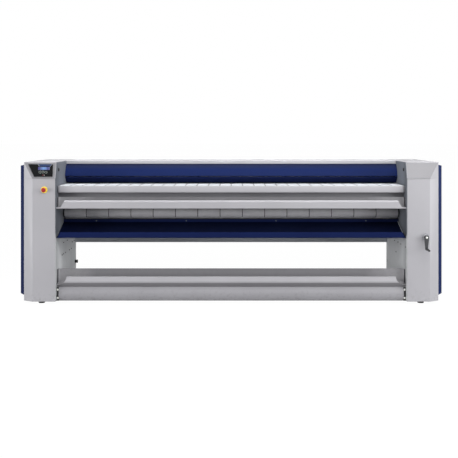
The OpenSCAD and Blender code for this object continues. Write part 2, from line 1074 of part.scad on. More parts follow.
lower_rear_top = 337;
lower_top = 276;
lower_nose = 226;
lower_bottom = 172;
lip_front = 5;
nose_radius = 14;
tuck_back = 48;
lip_cut_in = 103;
lip_cut_end = 196;
lip_cut_rise = 16;
module lower_trough() {
    line = concat(
        hem(lip_front, lower_top, trough_hem),
        arc_points([nose_radius, lower_nose], nose_radius, 180, 220, 3),
        [[tuck_back, lower_bottom]],
        back_corner(trough_floor_back, lower_bottom, trough_corner),
        [[trough_back, lower_rear_top]]
    );
    color(light_grey)
        difference() {
            across(-half_gap, half_gap) bent_sheet(line, shell_wall);
            both_sides()
                translate([0, front_y + trough_back / 2, 0])
                    rotate([90, 0, 0])
                        linear_extrude(height = trough_back)
                            polygon(concat(
                                bulge(
                                    [half_gap - lip_cut_in, lower_top + over],
                                    [half_gap + over, lip_cut_end], lip_cut_rise, 6
                                ),
                                [[half_gap + over, lower_top + over]]
                            ));
        }
}

kick_top = [58, 168];
kick_foot = [46, 33];
kick_bulge = 28;
flange_gap = 0.4;
module lower_front_panel() {
    inner = half_gap - lug_wide;
    curve = bulge(kick_top, kick_foot, kick_bulge, 10);
    color(light_grey)
        difference() {
            union() {
                across(-inner, inner) bent_sheet(curve, shell_wall);
                both_sides() {
                    across(inner - shell_wall, inner) polygon(curve);
                    block(
                        inner - shell_wall, half_gap - flange_gap, lug_front - shell_wall,
                        lug_front, lug_low, lug_high
                    );
                }
            }
            both_sides()
                for (height = bolt_heights)
                    bar_y(
                        half_gap - bolt_in, height, lug_front - shell_wall - over,
                        lug_front + over, bolt_radius
                    );
        }
}

bolt_head_radius = 9;
bolt_head_high = 6;
module panel_bolts() {
    front = lug_front - shell_wall;
    color(steel)
        both_sides()
            for (height = bolt_heights) {
                bar_y(half_gap - bolt_in, height, front, lug_front + lug_deep, bolt_radius);
                translate([half_gap - bolt_in, front_y + front, height])
                    rotate([90, 0, 0])
                        cylinder(h = bolt_head_high, r = bolt_head_radius, $fn = 6);
            }
}

// Drive in the right column
drive_side = 85;
drive_x = half_gap + drive_side;
drive_width = 25;
big_pulley_radius = 160;
small_pulley_radius = 45;
drive_axis = [340, crank_height];
drive_shaft_radius = 14;
drive_belt_thick = 5;
belt_side_gap = 2;
pulley_web = 8;
pulley_rim = 14;
pulley_hub = 65;
gearbox_half = 55;
gearbox_front = 260;
gearbox_back = 420;
gearbox_high = 70;
crank_x = half_gap + crank_side;
module cylinder_pulley() {
    color(dark_grey)
        difference() {
            bar_x(cylinder_axis, drive_x, drive_x + drive_width, big_pulley_radius);
            difference() {
                union() {
                    bar_x(
                        cylinder_axis, drive_x - over, drive_x + (drive_width - pulley_web) / 2,
                        big_pulley_radius - pulley_rim
                    );
                    bar_x(
                        cylinder_axis, drive_x + (drive_width + pulley_web) / 2,
                        drive_x + drive_width + over, big_pulley_radius - pulley_rim
                    );
                }
                bar_x(cylinder_axis, drive_x - 2 * over, drive_x + drive_width + 2 * over, pulley_hub);
            }
            bar_x(cylinder_axis, drive_x - over, drive_x + drive_width + over, journal_radius);
        }
}
module drive_pulley() {
    color(steel) {
        bar_x(drive_axis, drive_x, drive_x + drive_width, small_pulley_radius);
        bar_x(drive_axis, drive_x, crank_x + gearbox_half, drive_shaft_radius);
    }
}
module drive_belt() {
    wheels = [
        wheel(cylinder_axis, big_pulley_radius + free_gap),
        wheel(drive_axis, small_pulley_radius + free_gap)
    ];
    color(black)
        across(drive_x + belt_side_gap, drive_x + drive_width - belt_side_gap)
            belt_loop(wheels, drive_belt_thick, 5);
}

crank_in = 40;
box_foot_thick = 12;
box_foot_low = 12;
box_foot_inset = 20;
module gearbox_housing() {
    low = crank_height - gearbox_high;
    color(dark_grey)
        difference() {
            union() {
                block(
                    crank_x - gearbox_half, crank_x + gearbox_half, gearbox_front, gearbox_back,
                    low, crank_height + gearbox_high
                );
                block(
                    frame_outer, crank_x + gearbox_half, gearbox_front + box_foot_inset,
                    gearbox_back - box_foot_inset, low - box_foot_thick, low
                );
                block(
                    frame_outer, frame_outer + box_foot_thick, gearbox_front + box_foot_inset,
                    gearbox_back - box_foot_inset, low - gearbox_high, low
                );
            }
            bar_y(
                crank_x, crank_height, gearbox_front - over, gearbox_front + crank_in,
                crank_shaft + running_fit
            );
            bar_x(
                drive_axis, crank_x - gearbox_half - over, crank_x + gearbox_half + over,
                drive_shaft_radius + running_fit
            );
        }
}
motor_radius = 65;
motor_back = 680;
cowl_radius = 68;
cowl_long = 50;
cowl_bore = 40;
cowl_bore_deep = 20;
module drive_motor() {
    color(mid_grey)
        difference() {
            union() {
                bar_y(crank_x, crank_height, gearbox_back, motor_back, motor_radius);
                bar_y(crank_x, crank_height, motor_back, motor_back + cowl_long, cowl_radius);
            }
            bar_y(
                crank_x, crank_height, motor_back + cowl_long - cowl_bore_deep,
                motor_back + cowl_long + over, cowl_bore
            );
        }
}

// Hand crank
plate_radius = 40;
plate_thick = 6;
plate_boss_radius = 28;
plate_boss_out = 14;
barrel_in = 30;
crank_hub_radius = 18;
crank_hub_gap = 1;
arm_back = 50;
arm_front = 62;
arm_hub_radius = 18.5;
arm_end_radius = 13;
arm_taper_step = 0.5;
spindle_tip_radius = 8;
spindle_tip_out = 6;
grip_pin_radius = 5;
grip_pin_short = 8;
grip_end_gap = 1;
module crank_escutcheon() {
    color(light_grey)
        difference() {
            union() {
                bar_y(crank_x, crank_height, -plate_thick, 0, plate_radius);
                bar_y(crank_x, crank_height, -plate_boss_out, 0, plate_boss_radius);
                bar_y(crank_x, crank_height, -over, barrel_in, escutcheon_barrel);
            }
            bar_y(
                crank_x, crank_height, -plate_boss_out - over, barrel_in + over,
                crank_shaft + running_fit
            );
        }
}
module hand_crank() {
    color(dark_grey) {
        bar_y(crank_x, crank_height, -arm_front, gearbox_front + crank_in - over, crank_shaft);
        bar_y(crank_x, crank_height, -arm_back, -plate_boss_out - crank_hub_gap, crank_hub_radius);
        bar_y(crank_x, crank_height, -arm_front, -arm_back, arm_hub_radius);
        bar_y(crank_x, crank_height, -arm_front - spindle_tip_out, -arm_front, spindle_tip_radius);
        bar_y(crank_x, crank_height - crank_arm, -arm_front, -arm_back, arm_end_radius);
        translate([crank_x, front_y - arm_back, crank_height])
            rotate([90, 0, 0])
                linear_extrude(height = arm_front - arm_back)
                    polygon([
                        [-arm_hub_radius + arm_taper_step, 0],
                        [-arm_end_radius + arm_taper_step, -crank_arm],
                        [arm_end_radius - arm_taper_step, -crank_arm],
                        [arm_hub_radius - arm_taper_step, 0]
                    ]);
        bar_y(
            crank_x, crank_height - crank_arm, -crank_reach + grip_pin_short, -arm_front,
            grip_pin_radius
        );
    }
}
module crank_grip() {
    color(black)
        difference() {
            bar_y(
                crank_x, crank_height - crank_arm, -crank_reach, -arm_front - grip_end_gap,
                grip_radius
            );
            bar_y(
                crank_x, crank_height - crank_arm, -crank_reach + grip_pin_short - grip_end_gap,
                -arm_front, grip_pin_radius + running_fit
            );
        }
}

// Exhaust fan in the left column
fan_inner = frame_outer + 23;
fan_wide = 120;
fan_radius = 125;
fan_collar = 3;
pipe_seat = 0.2;
fan_shaft = 8;
blade_count = 12;
blade_inner = 55;
blade_outer = 98;
impeller_plate = 4;
impeller_gap = 12;
impeller_hub = 22;
fan_motor_radius = 50;
fan_motor_long = 118;
fan_motor_in = 60;
spigot_x = half_gap + spigot_side;
spigot_bore = spigot_radius - spigot_step - fan_collar;

// Drum of the fan, open to the inlet ring, to the outlet pipe and to the motor's shaft
module fan_drum() {
    difference() {
        bar_x(fan_axis, fan_inner, fan_inner + fan_wide, fan_radius);
        bar_x(
            fan_axis, fan_inner + shell_wall, fan_inner + fan_wide - shell_wall,
            fan_radius - shell_wall
        );
        bar_x(fan_axis, fan_inner - over, fan_inner + fan_wide / 2, fan_inlet);
        bar_x(
            fan_axis, fan_inner + fan_wide / 2, fan_inner + fan_wide + over,
            fan_shaft + fan_collar
        );
        bar_y(spigot_x, spigot_height, fan_axis[0], column_depth, spigot_bore);
    }
}
module inlet_ring() {
    difference() {
        bar_x(fan_axis, frame_outer, fan_inner - pipe_seat, fan_inlet + fan_collar);
        bar_x(fan_axis, frame_outer - over, fan_inner + over, fan_inlet);
    }
}
module outlet_pipe() {
    difference() {
        union() {
            bar_y(
                spigot_x, spigot_height, fan_axis[0], column_depth + spigot_out,
                spigot_radius - spigot_step
            );
            bar_y(
                spigot_x, spigot_height, column_depth + spigot_stand, column_depth + spigot_out,
                spigot_radius
            );
        }
        bar_y(
            spigot_x, spigot_height, fan_axis[0] - over, column_depth + spigot_out + over,
            spigot_bore
        );
        bar_x(fan_axis, fan_inner - over, fan_inner + fan_wide + over, fan_radius + pipe_seat);
    }
}
module exhaust_fan_housing() {
    color(steel)
        left_side() {
            fan_drum();
            inlet_ring();
            outlet_pipe();
        }
}
module fan_impeller() {
    plate_x = fan_inner + fan_wide - impeller_gap;
    color(dark_grey)
        left_side() {
            bar_x(fan_axis, plate_x - impeller_plate, plate_x, blade_outer);
            bar_x(fan_axis, plate_x - impeller_hub, plate_x, impeller_hub);
            bar_x(fan_axis, plate_x, fan_inner + fan_wide + fan_motor_in, fan_shaft);
            translate([fan_inner + impeller_gap, front_y + fan_axis[0], fan_axis[1]])
                for (i = [0:blade_count - 1])
                    rotate([360 * i / blade_count, 0, 0])
                        translate([0, blade_inner, -impeller_plate / 2])
                            cube([
                                fan_wide - 2 * impeller_gap - impeller_plate / 2,
                                blade_outer - blade_inner - over, impeller_plate
                            ]);
        }
}
module fan_motor() {
    color(mid_grey)
        left_side()
            difference() {
                bar_x(
                    fan_axis, fan_inner + fan_wide, fan_inner + fan_wide + fan_motor_long,
                    fan_motor_radius
                );
                bar_x(
                    fan_axis, fan_inner + fan_wide - over,
                    fan_inner + fan_wide + fan_motor_in + over, fan_shaft + running_fit
                );
            }
}

// Control panel on the left head
panel_thick = 8;
panel_low = 21;
panel_high = 148;
panel_inner = 32;
panel_inner_lean = 5;
panel_outer_low = 212;
panel_outer_high = 279;
button_sides = [99, 128, 157];
button_up = 66;
button_pocket = 5.5;
button_proud = 2;
module on_left_head() {
    left_side()
        translate([half_gap, front_y, head_bottom])
            rotate([90 - head_lean, 0, 0])
                children();
}
module control_panel() {
    color(black)
        on_left_head()
            difference() {
                linear_extrude(height = panel_thick)
                    polygon([
                        [panel_inner, panel_low],
                        [panel_outer_low, panel_low],
                        [panel_outer_high, panel_high],
                        [panel_inner + panel_inner_lean, panel_high]
                    ]);
                for (side = button_sides)
                    translate([side, button_up, panel_thick - button_pocket])
                        cylinder(h = button_pocket + over, r = button_radius + running_fit);
            }
}
module panel_button(side) {
    low = panel_thick - button_pocket + button_travel + free_gap;
    color(steel)
        on_left_head()
            translate([side, button_up, low])
                cylinder(h = panel_thick + button_proud - low, r = button_radius);
}
module panel_button_left() {
    panel_button(button_sides[2]);
}
module panel_button_middle() {
    panel_button(button_sides[1]);
}
module panel_button_right() {
    panel_button(button_sides[0]);
}

// Emergency stop on the left column
stop_plate_radius = 32;
stop_plate_thick = 4;
stop_collar_radius = 16;
stop_collar_out = 14;
stop_barrel_in = 40;
stop_block = 36;
stop_block_back = 78;
plunger_radius = 6;
plunger_in = 50;
plunger_end_gap = 1;
cap_front = 45;
cap_back = 27;
cap_neck_radius = 14;
cap_neck_back = 20.5;
cap_edge = 6;
cap_face_radius = 15;
stop_x = half_gap + stop_side;
module estop_body() {
    color("gold")
        left_side()
            difference() {
                union() {
                    bar_y(stop_x, stop_height, -stop_plate_thick, 0, stop_plate_radius);
                    bar_y(stop_x, stop_height, -stop_collar_out, 0, stop_collar_radius);
                    bar_y(stop_x, stop_height, -over, stop_barrel_in, stop_barrel);
                    block(
                        stop_x - stop_block / 2, stop_x + stop_block / 2, stop_barrel_in,
                        stop_block_back, stop_height - stop_block / 2,
                        stop_height + stop_block / 2
                    );
                }
                bar_y(
                    stop_x, stop_height, -stop_collar_out - over,
                    plunger_in + stop_travel + plunger_end_gap, plunger_radius + running_fit
                );
            }
}
module estop_plunger() {
    color(steel)
        left_side()
            bar_y(stop_x, stop_height, -cap_front + cap_edge, plunger_in, plunger_radius);
}
module estop_cap() {
    color("red")
        left_side()
            translate([stop_x, front_y, stop_height])
                rotate([90, 0, 0])
                    difference() {
                        rotate_extrude()
                            polygon([
                                [0, cap_neck_back],
                                [cap_neck_radius, cap_neck_back],
                                [cap_neck_radius, cap_back],
                                [stop_radius, cap_back],
                                [stop_radius, cap_front - cap_edge],
                                [cap_face_radius, cap_front - plunger_end_gap],
                                [0, cap_front]
                            ]);
                        translate([0, 0, cap_neck_back - over])
                            cylinder(
                                h = cap_front - cap_edge - cap_neck_back + 1.5 * over,
                                r = plunger_radius + running_fit
                            );
                    }
}

// Electrical box, plugs and cable gland
box_x = 158;
box_depths = [250, 600];
box_drop = 591;
box_high = 440;
box_heights = [machine_height - box_drop - box_high, machine_height - box_drop];
box_wall = 2;
rail_high = 35;
rail_deep = 8;
module controller_box() {
    color(mid_grey)
        left_side() {
            difference() {
                block(
                    frame_outer, frame_outer + box_x, box_depths[0], box_depths[1],
                    box_heights[0], box_heights[1]
                );
                block(
                    frame_outer + box_wall, frame_outer + box_x + over,
                    box_depths[0] + box_wall, box_depths[1] - box_wall,
                    box_heights[0] + box_wall, box_heights[1] - box_wall
                );
            }
            for (i = [1:3])
                let (z = box_heights[0] + i * (box_heights[1] - box_heights[0]) / 4)
                    block(
                        frame_outer + box_wall, frame_outer + box_wall + rail_deep,
                        box_depths[0] + box_wall, box_depths[1] - box_wall,
                        z - rail_high / 2, z + rail_high / 2
                    );
        }
}

plug_head_radius = 17;
plug_head_out = 8;
gland_nut_radius = 20;
gland_out = 30;
gland_nut_thick = 8;
gland_bore = 9;
module plugs_and_gland() {
    plug_axis = [plug_depth, plug_height];
    gland_axis = [gland_depth, gland_height];
    color(black) {
        both_sides() {
            bar_x(plug_axis, half_gap, frame_outer, plug_radius);
            bar_x(plug_axis, half_gap - plug_head_out, half_gap, plug_head_radius);
        }
        left_side()
            difference() {
                union() {
                    bar_x(gland_axis, half_gap - gland_out, half_gap, gland_nut_radius);
                    bar_x(gland_axis, half_gap, frame_outer, gland_radius);
                    bar_x(
                        gland_axis, frame_outer, frame_outer + gland_nut_thick,
                        gland_nut_radius
                    );
                }
                bar_x(
                    gland_axis, half_gap - gland_out - over,
                    frame_outer + gland_nut_thick + over, gland_bore
                );
            }
    }
}

left_end_frame();
right_end_frame();
left_column_shell();
right_column_shell();
left_side_cover();
right_side_cover();
rear_covers();
base_plates();
levelling_feet();
top_cover();
hood_panel();
finger_guard();
finger_guard_pins();
rear_panel();
rear_beam();
feed_table_casing();
feed_bed();
feed_belts();
feed_front_roller();
feed_rear_roller();
upper_trough();
return_pan();
lower_trough();
lower_front_panel();
panel_bolts();
ironing_cylinder();
cylinder_end_left();
cylinder_end_right();
cylinder_bearings();
heating_elements();
heater_carrier();
entry_roller();
exit_roller();
rear_lower_roller();
rear_upper_roller();
ironing_belts();
roller_bearings_left();
roller_bearings_right();
stripper_bar();
stripper_fingers();
drive_motor();
gearbox_housing();
drive_pulley();
cylinder_pulley();
drive_belt();
crank_escutcheon();
hand_crank();
crank_grip();
exhaust_fan_housing();
fan_impeller();
fan_motor();
control_panel();
panel_button_left();
panel_button_middle();
panel_button_right();
estop_body();
estop_plunger();
estop_cap();
controller_box();
plugs_and_gland();
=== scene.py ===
import math

import bmesh
import bpy
import numpy as np
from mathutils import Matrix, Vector


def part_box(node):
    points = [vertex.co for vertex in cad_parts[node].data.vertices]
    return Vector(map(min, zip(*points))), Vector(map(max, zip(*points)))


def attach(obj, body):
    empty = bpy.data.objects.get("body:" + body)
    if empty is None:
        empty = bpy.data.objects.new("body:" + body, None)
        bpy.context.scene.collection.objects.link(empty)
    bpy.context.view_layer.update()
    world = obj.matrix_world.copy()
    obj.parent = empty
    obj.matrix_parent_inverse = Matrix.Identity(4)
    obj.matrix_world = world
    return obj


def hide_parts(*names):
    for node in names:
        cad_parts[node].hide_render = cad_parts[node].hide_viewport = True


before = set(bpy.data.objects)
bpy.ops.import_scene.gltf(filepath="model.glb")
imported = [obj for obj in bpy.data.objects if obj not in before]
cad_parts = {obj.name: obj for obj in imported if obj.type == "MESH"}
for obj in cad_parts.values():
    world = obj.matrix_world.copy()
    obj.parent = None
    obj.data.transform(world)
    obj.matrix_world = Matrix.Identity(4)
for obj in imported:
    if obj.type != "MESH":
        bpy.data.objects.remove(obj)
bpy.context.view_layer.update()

MM = 0.001
TINY = 1e-9
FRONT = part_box("right_column_shell")[0].y
ORIGIN = np.array([0.0, FRONT, 0.0])


# Sizes taken from the frame

def span(node):
    """Lowest and highest corner of a node, in millimetres."""
    return tuple((np.array(corner) - ORIGIN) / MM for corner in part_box(node))


def axle(node):
    """Depth, height and radius of a round node that lies across the machine."""
    low, high = span(node)
    middle = (low + high) / 2
    return np.array([middle[1], middle[2], (high[2] - low[2]) / 2])


def face_middle(node):
    """Middle of a node across and up, on the front plane of the columns."""
    low, high = span(node)
    return (low + high) / 2 * [1, 0, 1]


column_low, column_high = span("right_column_shell")
HALF_GAP = column_low[0]
COLUMN_WIDTH = column_high[0] - column_low[0]
COLUMN_DEEP = column_high[1]
BASE = column_low[2]
TOP = column_high[2]
SHEET = 3.0
# Half length of a sheet that reaches both end frames, and wall of the covers drawn as shells
SHEET_HALF = HALF_GAP - 0.4
COVER_WALL = 2.4

# Bevel on the outer front edge and lean of the head
BEVEL_WIDTH = 96.0
BEVEL_DEPTH = 60.0
HEAD_HIGH = 162.0
HEAD_LOW = TOP - HEAD_HIGH
HEAD_LEAN = math.atan2(BEVEL_DEPTH, HEAD_HIGH)


# Outlines

def unit(vectors):
    """The same directions, one long."""
    return vectors / np.maximum(np.linalg.norm(vectors, axis=-1, keepdims=True), TINY)


def directions(points, closed):
    """Unit directions into and out of each point; an open line runs straight on past its ends."""
    before, after = np.roll(points, 1, -2), np.roll(points, -1, -2)
    if not closed:
        before[..., 0, :] = 2 * points[..., 0, :] - points[..., 1, :]
        after[..., -1, :] = 2 * points[..., -1, :] - points[..., -2, :]
    return unit(points - before), unit(after - points)


def moved_left(points, distance, closed=False):
    """Moves a line to its left: each point goes 2 d m / (m m), with m the sum of its normals."""
    into, out = directions(points, closed)
    both = into + out
    m = np.stack([-both[..., 1], both[..., 0]], -1)
    return points + 2 * distance * m / (m * m).sum(-1, keepdims=True)


def rounded(points, radii, closed=False, steps=6):
    """Turns corners into arcs. The centre lies r / cos(h) along the bisector of a corner that
    turns by 2h, and the arc is centre + r (t sin p - n cos p) for p from -h to h."""
    points = np.asarray(points, float)
    into, out = directions(points, closed)
    half = 0.5 * np.arccos(np.clip((into * out).sum(-1), -1, 1))[..., None, None]
    inward = unit(out - into)[..., None, :]
    along = unit(out + into)[..., None, :]
    radius = np.broadcast_to(np.asarray(radii, float), points.shape[:-1])[..., None, None]
    p = half * np.linspace(-1, 1, steps + 1)[:, None]
    centre = points[..., None, :] + inward * radius / np.cos(half)
    arcs = centre + radius * (along * np.sin(p) - inward * np.cos(p))
    flat = arcs.reshape(*points.shape[:-2], -1, 2)
    if closed:
        return np.concatenate([flat, flat[..., :1, :]], -2)
    inner = flat[..., steps + 1:-(steps + 1), :]
    return np.concatenate([points[..., :1, :], inner, points[..., -1:, :]], -2)


def parabola(start, end, rise, count):
    """Points t of the way from start to end, moved to the right by 4 rise t (1 - t)."""
    t = np.linspace(0, 1, count)[:, None]
    start, end = np.array(start, float), np.array(end, float)
    along = unit(end - start)
    return start + t * (end - start) - 4 * rise * t * (1 - t) * np.array([-along[1], along[0]])


# Surfaces, each a grid of points (rows, columns, 3)

def drawn_across(line, across):
    """Carries a line of (depth, height) points across the machine. across is one value for
    each column, or a table with a row for each point of the line."""
    across = np.broadcast_to(across, (len(line), np.shape(across)[-1]))
    pairs = np.broadcast_to(line[:, None, :], (*across.shape, 2))
    return np.concatenate([across[..., None], pairs], -1)


def bent_sheet(corners, radii, half_length, thickness=SHEET, steps=6, shares=(-1, 1)):
    """A sheet bent along a line of corners, its inner face the line moved to the left by the
    thickness, with bend radii to match. Point (u, v) is at shares[v] times the half length
    across, on the closed section at u. half_length may be a function of the section's points.
    The cut ends are strips between the two faces."""
    corners = np.asarray(corners, float)
    radii = np.broadcast_to(np.asarray(radii, float), len(corners))
    into, out = directions(corners, False)
    turn = np.sign(into[:, 0] * out[:, 1] - into[:, 1] * out[:, 0])
    inner_radii = np.maximum(radii - turn * thickness, 0)
    outer = rounded(corners, radii, steps=steps)
    inner = rounded(moved_left(corners, thickness), inner_radii, steps=steps)
    section = np.concatenate([outer, inner[::-1], outer[:1]])
    half = half_length(section) if callable(half_length) else np.full(len(section), half_length)
    body = drawn_across(section, half[:, None] * np.array(shares))
    count = len(outer)
    ends = [np.stack([body[:count, c], body[count:2 * count, c][::-1]], 1) for c in (0, -1)]
    return [body, *ends]


def block(outline, radii, start, end, edge, steps=5):
    """A closed outline drawn from start to end as (x, y, draw) points, with both end edges
    rounded: near an end the outline is moved inwards by edge (1 - sin a) at edge (1 - cos a)
    from it. Each end closes on the outline's middle."""
    outline = np.asarray(outline, float)
    a = np.linspace(0, np.pi / 2, steps + 1)
    inset = np.concatenate([edge * (1 - np.sin(a)), edge * (1 - np.sin(a[::-1]))])
    draw = np.concatenate([start + edge * (1 - np.cos(a)), end - edge * (1 - np.cos(a[::-1]))])
    radii = np.broadcast_to(np.asarray(radii, float), len(outline))
    rings = moved_left(np.broadcast_to(outline, (len(inset), *outline.shape)),
                       inset[:, None, None], closed=True)
    rings = rounded(rings, np.maximum(radii - inset[:, None], 0.1), closed=True, steps=steps)
    middle = np.broadcast_to(outline.mean(0), rings[:1].shape)
    rings = np.concatenate([middle, rings, middle])
    draw = np.concatenate([draw[:1], draw, draw[-1:]])
    return np.concatenate([rings, np.broadcast_to(draw[:, None, None], (*rings.shape[:2], 1))], -1)


def rectangle(x0, x1, y0, y1):
    """The four corners of an upright rectangle, as an outline."""
    return np.array([[x0, y0], [x1, y0], [x1, y1], [x0, y1]], float)


def upright(grid):
    """Turns (x, y, draw) points into across, height and depth: the block is drawn in depth."""
    return grid[..., [0, 2, 1]]


def sideways(grid):
    """Turns (depth, height, draw) points so that the block is drawn across the machine."""
    return grid[..., [2, 0, 1]]


def lathe(profile, centre, axis, columns=40):
    """Turns a profile of (radius, distance) points round an axis: the point at angle a is
    centre + distance axis + radius (p cos a + q sin a), with p and q square to the axis."""
    profile = np.asarray(profile, float)
    axis = unit(np.asarray(axis, float))
    p = unit(np.cross(axis, [0.3, 0.2, 0.93]))
    q = np.cross(axis, p)
    a = np.linspace(0, 2 * np.pi, columns + 1)[None, :, None]
    radius = profile[:, 0, None, None]
    distance = profile[:, 1, None, None]
    return np.asarray(centre, float) + distance * axis + radius * (p * np.cos(a) + q * np.sin(a))


def turned(corners, radii, centre, axis, columns=40, steps=4):
    """A lathe piece whose profile has round corners."""
    return lathe(rounded(corners, radii, steps=steps), centre, axis, columns)


# Belt paths round wheels, as the construction has them

ARC_STEPS = 14
RUN_STEPS = 6


def belt_path(wheels):
    """A closed path round wheels of (depth, height, signed radius): straight runs leave a wheel
    at the angle of the centre line plus asin((r1 - r2) / distance), arcs join them, and a
    negative radius is a wheel that presses on the loop from outside."""
    wheels = np.asarray(wheels, float)
    after = np.roll(wheels, -1, 0)
    gap = after[:, :2] - wheels[:, :2]
    reach = np.linalg.norm(gap, axis=1)
    leave = np.arctan2(gap[:, 1], gap[:, 0]) + np.arcsin((wheels[:, 2] - after[:, 2]) / reach)
    arrive = np.roll(leave, 1)
    way = np.where(wheels[:, 2] > 0, 1.0, -1.0)
    sweep = way * np.mod(way * (leave - arrive), 2 * np.pi)
    a = arrive[:, None] + sweep[:, None] * np.linspace(0, 1, ARC_STEPS + 1)
    arcs = wheels[:, None, :2] + wheels[:, None, 2:] * np.stack([np.sin(a), -np.cos(a)], -1)
    share = np.linspace(0, 1, RUN_STEPS + 1)[1:-1, None]
    runs = arcs[:, -1:] + share * (np.roll(arcs[:, 0], -1, 0)[:, None] - arcs[:, -1:])
    path = np.concatenate([arcs, runs], 1).reshape(-1, 2)
    normal = np.stack([np.sin(a), -np.cos(a)], -1)
    run_normal = np.broadcast_to(normal[:, -1:], runs.shape)
    return path, np.concatenate([normal, run_normal], 1).reshape(-1, 2)


def belts(wheels, middles, width, thickness, edge):
    """Flat belts round the same wheels: a cross section with round edges, thickness high and
    width wide, is carried along the path, and each loop meets its own start."""
    path, normal = belt_path(wheels)
    section = rounded(rectangle(-width / 2, width / 2, 0, thickness), edge, closed=True, steps=2)
    flat = path[:, None, :] + normal[:, None, :] * section[None, :, 1:]
    flat = np.concatenate([flat, flat[:1]])
    side = np.broadcast_to(section[:, 0], flat.shape[:2])[..., None]
    return [np.concatenate([side + middle, flat], -1) for middle in middles]


# Mesh pieces

def put(name, data):
    """Adds an object with its data to the scene."""
    made = bpy.data.objects.new(name, data)
    bpy.context.scene.collection.objects.link(made)
    return made


def piece(name, grids, material, body="frame", replaces=(), wall=0.0, sharp=38.0):
    """Joins grids into one mesh in metres. A quad joins four neighbours, the map holds real
    lengths along rows and columns, equal points are merged, and faces turn outwards."""
    points, quads, maps, start = [], [], [], 0
    for grid in grids:
        grid = np.asarray(grid, float) * MM + ORIGIN
        rows, columns = grid.shape[:2]
        index = start + np.arange(rows * columns).reshape(rows, columns)
        quads.append(np.stack([index[:-1, :-1], index[:-1, 1:], index[1:, 1:], index[1:, :-1]],
                              -1).reshape(-1, 4))
        down = np.linalg.norm(np.diff(grid, axis=0), axis=-1).max(1)
        over = np.linalg.norm(np.diff(grid, axis=1), axis=-1).max(0)
        u = np.concatenate([[0], np.cumsum(down)])
        v = np.concatenate([[0], np.cumsum(over)])
        maps.append(np.stack(np.meshgrid(u, v, indexing="ij"), -1).reshape(-1, 2))
        points.append(grid.reshape(-1, 3))
        start += rows * columns
    points, quads, maps = (np.concatenate(part) for part in (points, quads, maps))
    mesh = bpy.data.meshes.new(name)
    mesh.vertices.add(len(points))
    mesh.vertices.foreach_set("co", points.ravel())
    mesh.loops.add(quads.size)
    mesh.loops.foreach_set("vertex_index", quads.ravel())
    mesh.polygons.add(len(quads))
    mesh.polygons.foreach_set("loop_start", np.arange(0, quads.size, 4))
    mesh.uv_layers.new(name="UVMap").data.foreach_set("uv", maps[quads.ravel()].ravel())
    mesh.update(calc_edges=True)
    work = bmesh.new()
    work.from_mesh(mesh)
    bmesh.ops.remove_doubles(work, verts=work.verts, dist=2e-6)
    bmesh.ops.dissolve_degenerate(work, edges=work.edges, dist=2e-6)
    bmesh.ops.recalc_face_normals(work, faces=work.faces)
    work.to_mesh(mesh)
    work.free()
    mesh.polygons.foreach_set("use_smooth", np.ones(len(mesh.polygons), bool))
    mesh.set_sharp_from_angle(angle=math.radians(sharp))
    mesh.materials.append(material)
    made = put(name, mesh)
    if wall:
        shell = made.modifiers.new("wall", "SOLIDIFY")
        shell.thickness = wall * MM
        shell.offset = -1
        shell.use_even_offset = False
    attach(made, body)
    if replaces:
        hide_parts(*replaces)
    return made


def recoat(made, material, chosen):
    """Gives the faces that chosen picks, from middles in millimetres and normals, another coat."""
    count = len(made.data.polygons)
    middles, normals = np.empty(3 * count), np.empty(3 * count)
    made.data.polygons.foreach_get("center", middles)
    made.data.polygons.foreach_get("normal", normals)
    picked = chosen((middles.reshape(-1, 3) - ORIGIN) / MM, normals.reshape(-1, 3))
    index = np.zeros(count, int)
    made.data.polygons.foreach_get("material_index", index)
    index[picked] = len(made.data.materials)
    made.data.materials.append(material)
    made.data.polygons.foreach_set("material_index", index)


def copies(grid, places):
    """The same small grid at each place."""
    return [grid + np.asarray(where, float) for where in places]


mirrored = np.array([-1.0, 1.0, 1.0])
SIDES = (("left", mirrored), ("right", 1.0))


def on_both_sides(grid):
    """A grid of the right side, and its mirror image on the left."""
    return [grid, grid * mirrored]


# Materials

def srgb(code):
    """An sRGB hex colour as linear values."""
    values = np.array([int(code[i:i + 2], 16) for i in (0, 2, 4)]) / 255
    linear = np.where(values <= 0.04045, values / 12.92, ((values + 0.055) / 1.055) ** 2.4)
    return (*linear, 1.0)


def fresh_nodes(owner):
    """The emptied node tree of a new material or world."""
    owner.use_nodes = True
    owner.node_tree.nodes.clear()
    return owner.node_tree


def add(tree, kind, inputs=None, **settings):
    """Adds a node with its settings; inputs hold values or other nodes' output sockets."""
    node = tree.nodes.new(kind)
    for name, value in settings.items():
        setattr(node, name, value)
    for socket, value in (inputs or {}).items():
        if isinstance(value, bpy.types.NodeSocket):
            tree.links.new(value, node.inputs[socket])
        else:
            node.inputs[socket].default_value = value
    return node


def maths(tree, operation, *values):
    """One step of arithmetic on numbers or sockets."""
    return add(tree, "ShaderNodeMath", dict(enumerate(values)), operation=operation).outputs[0]


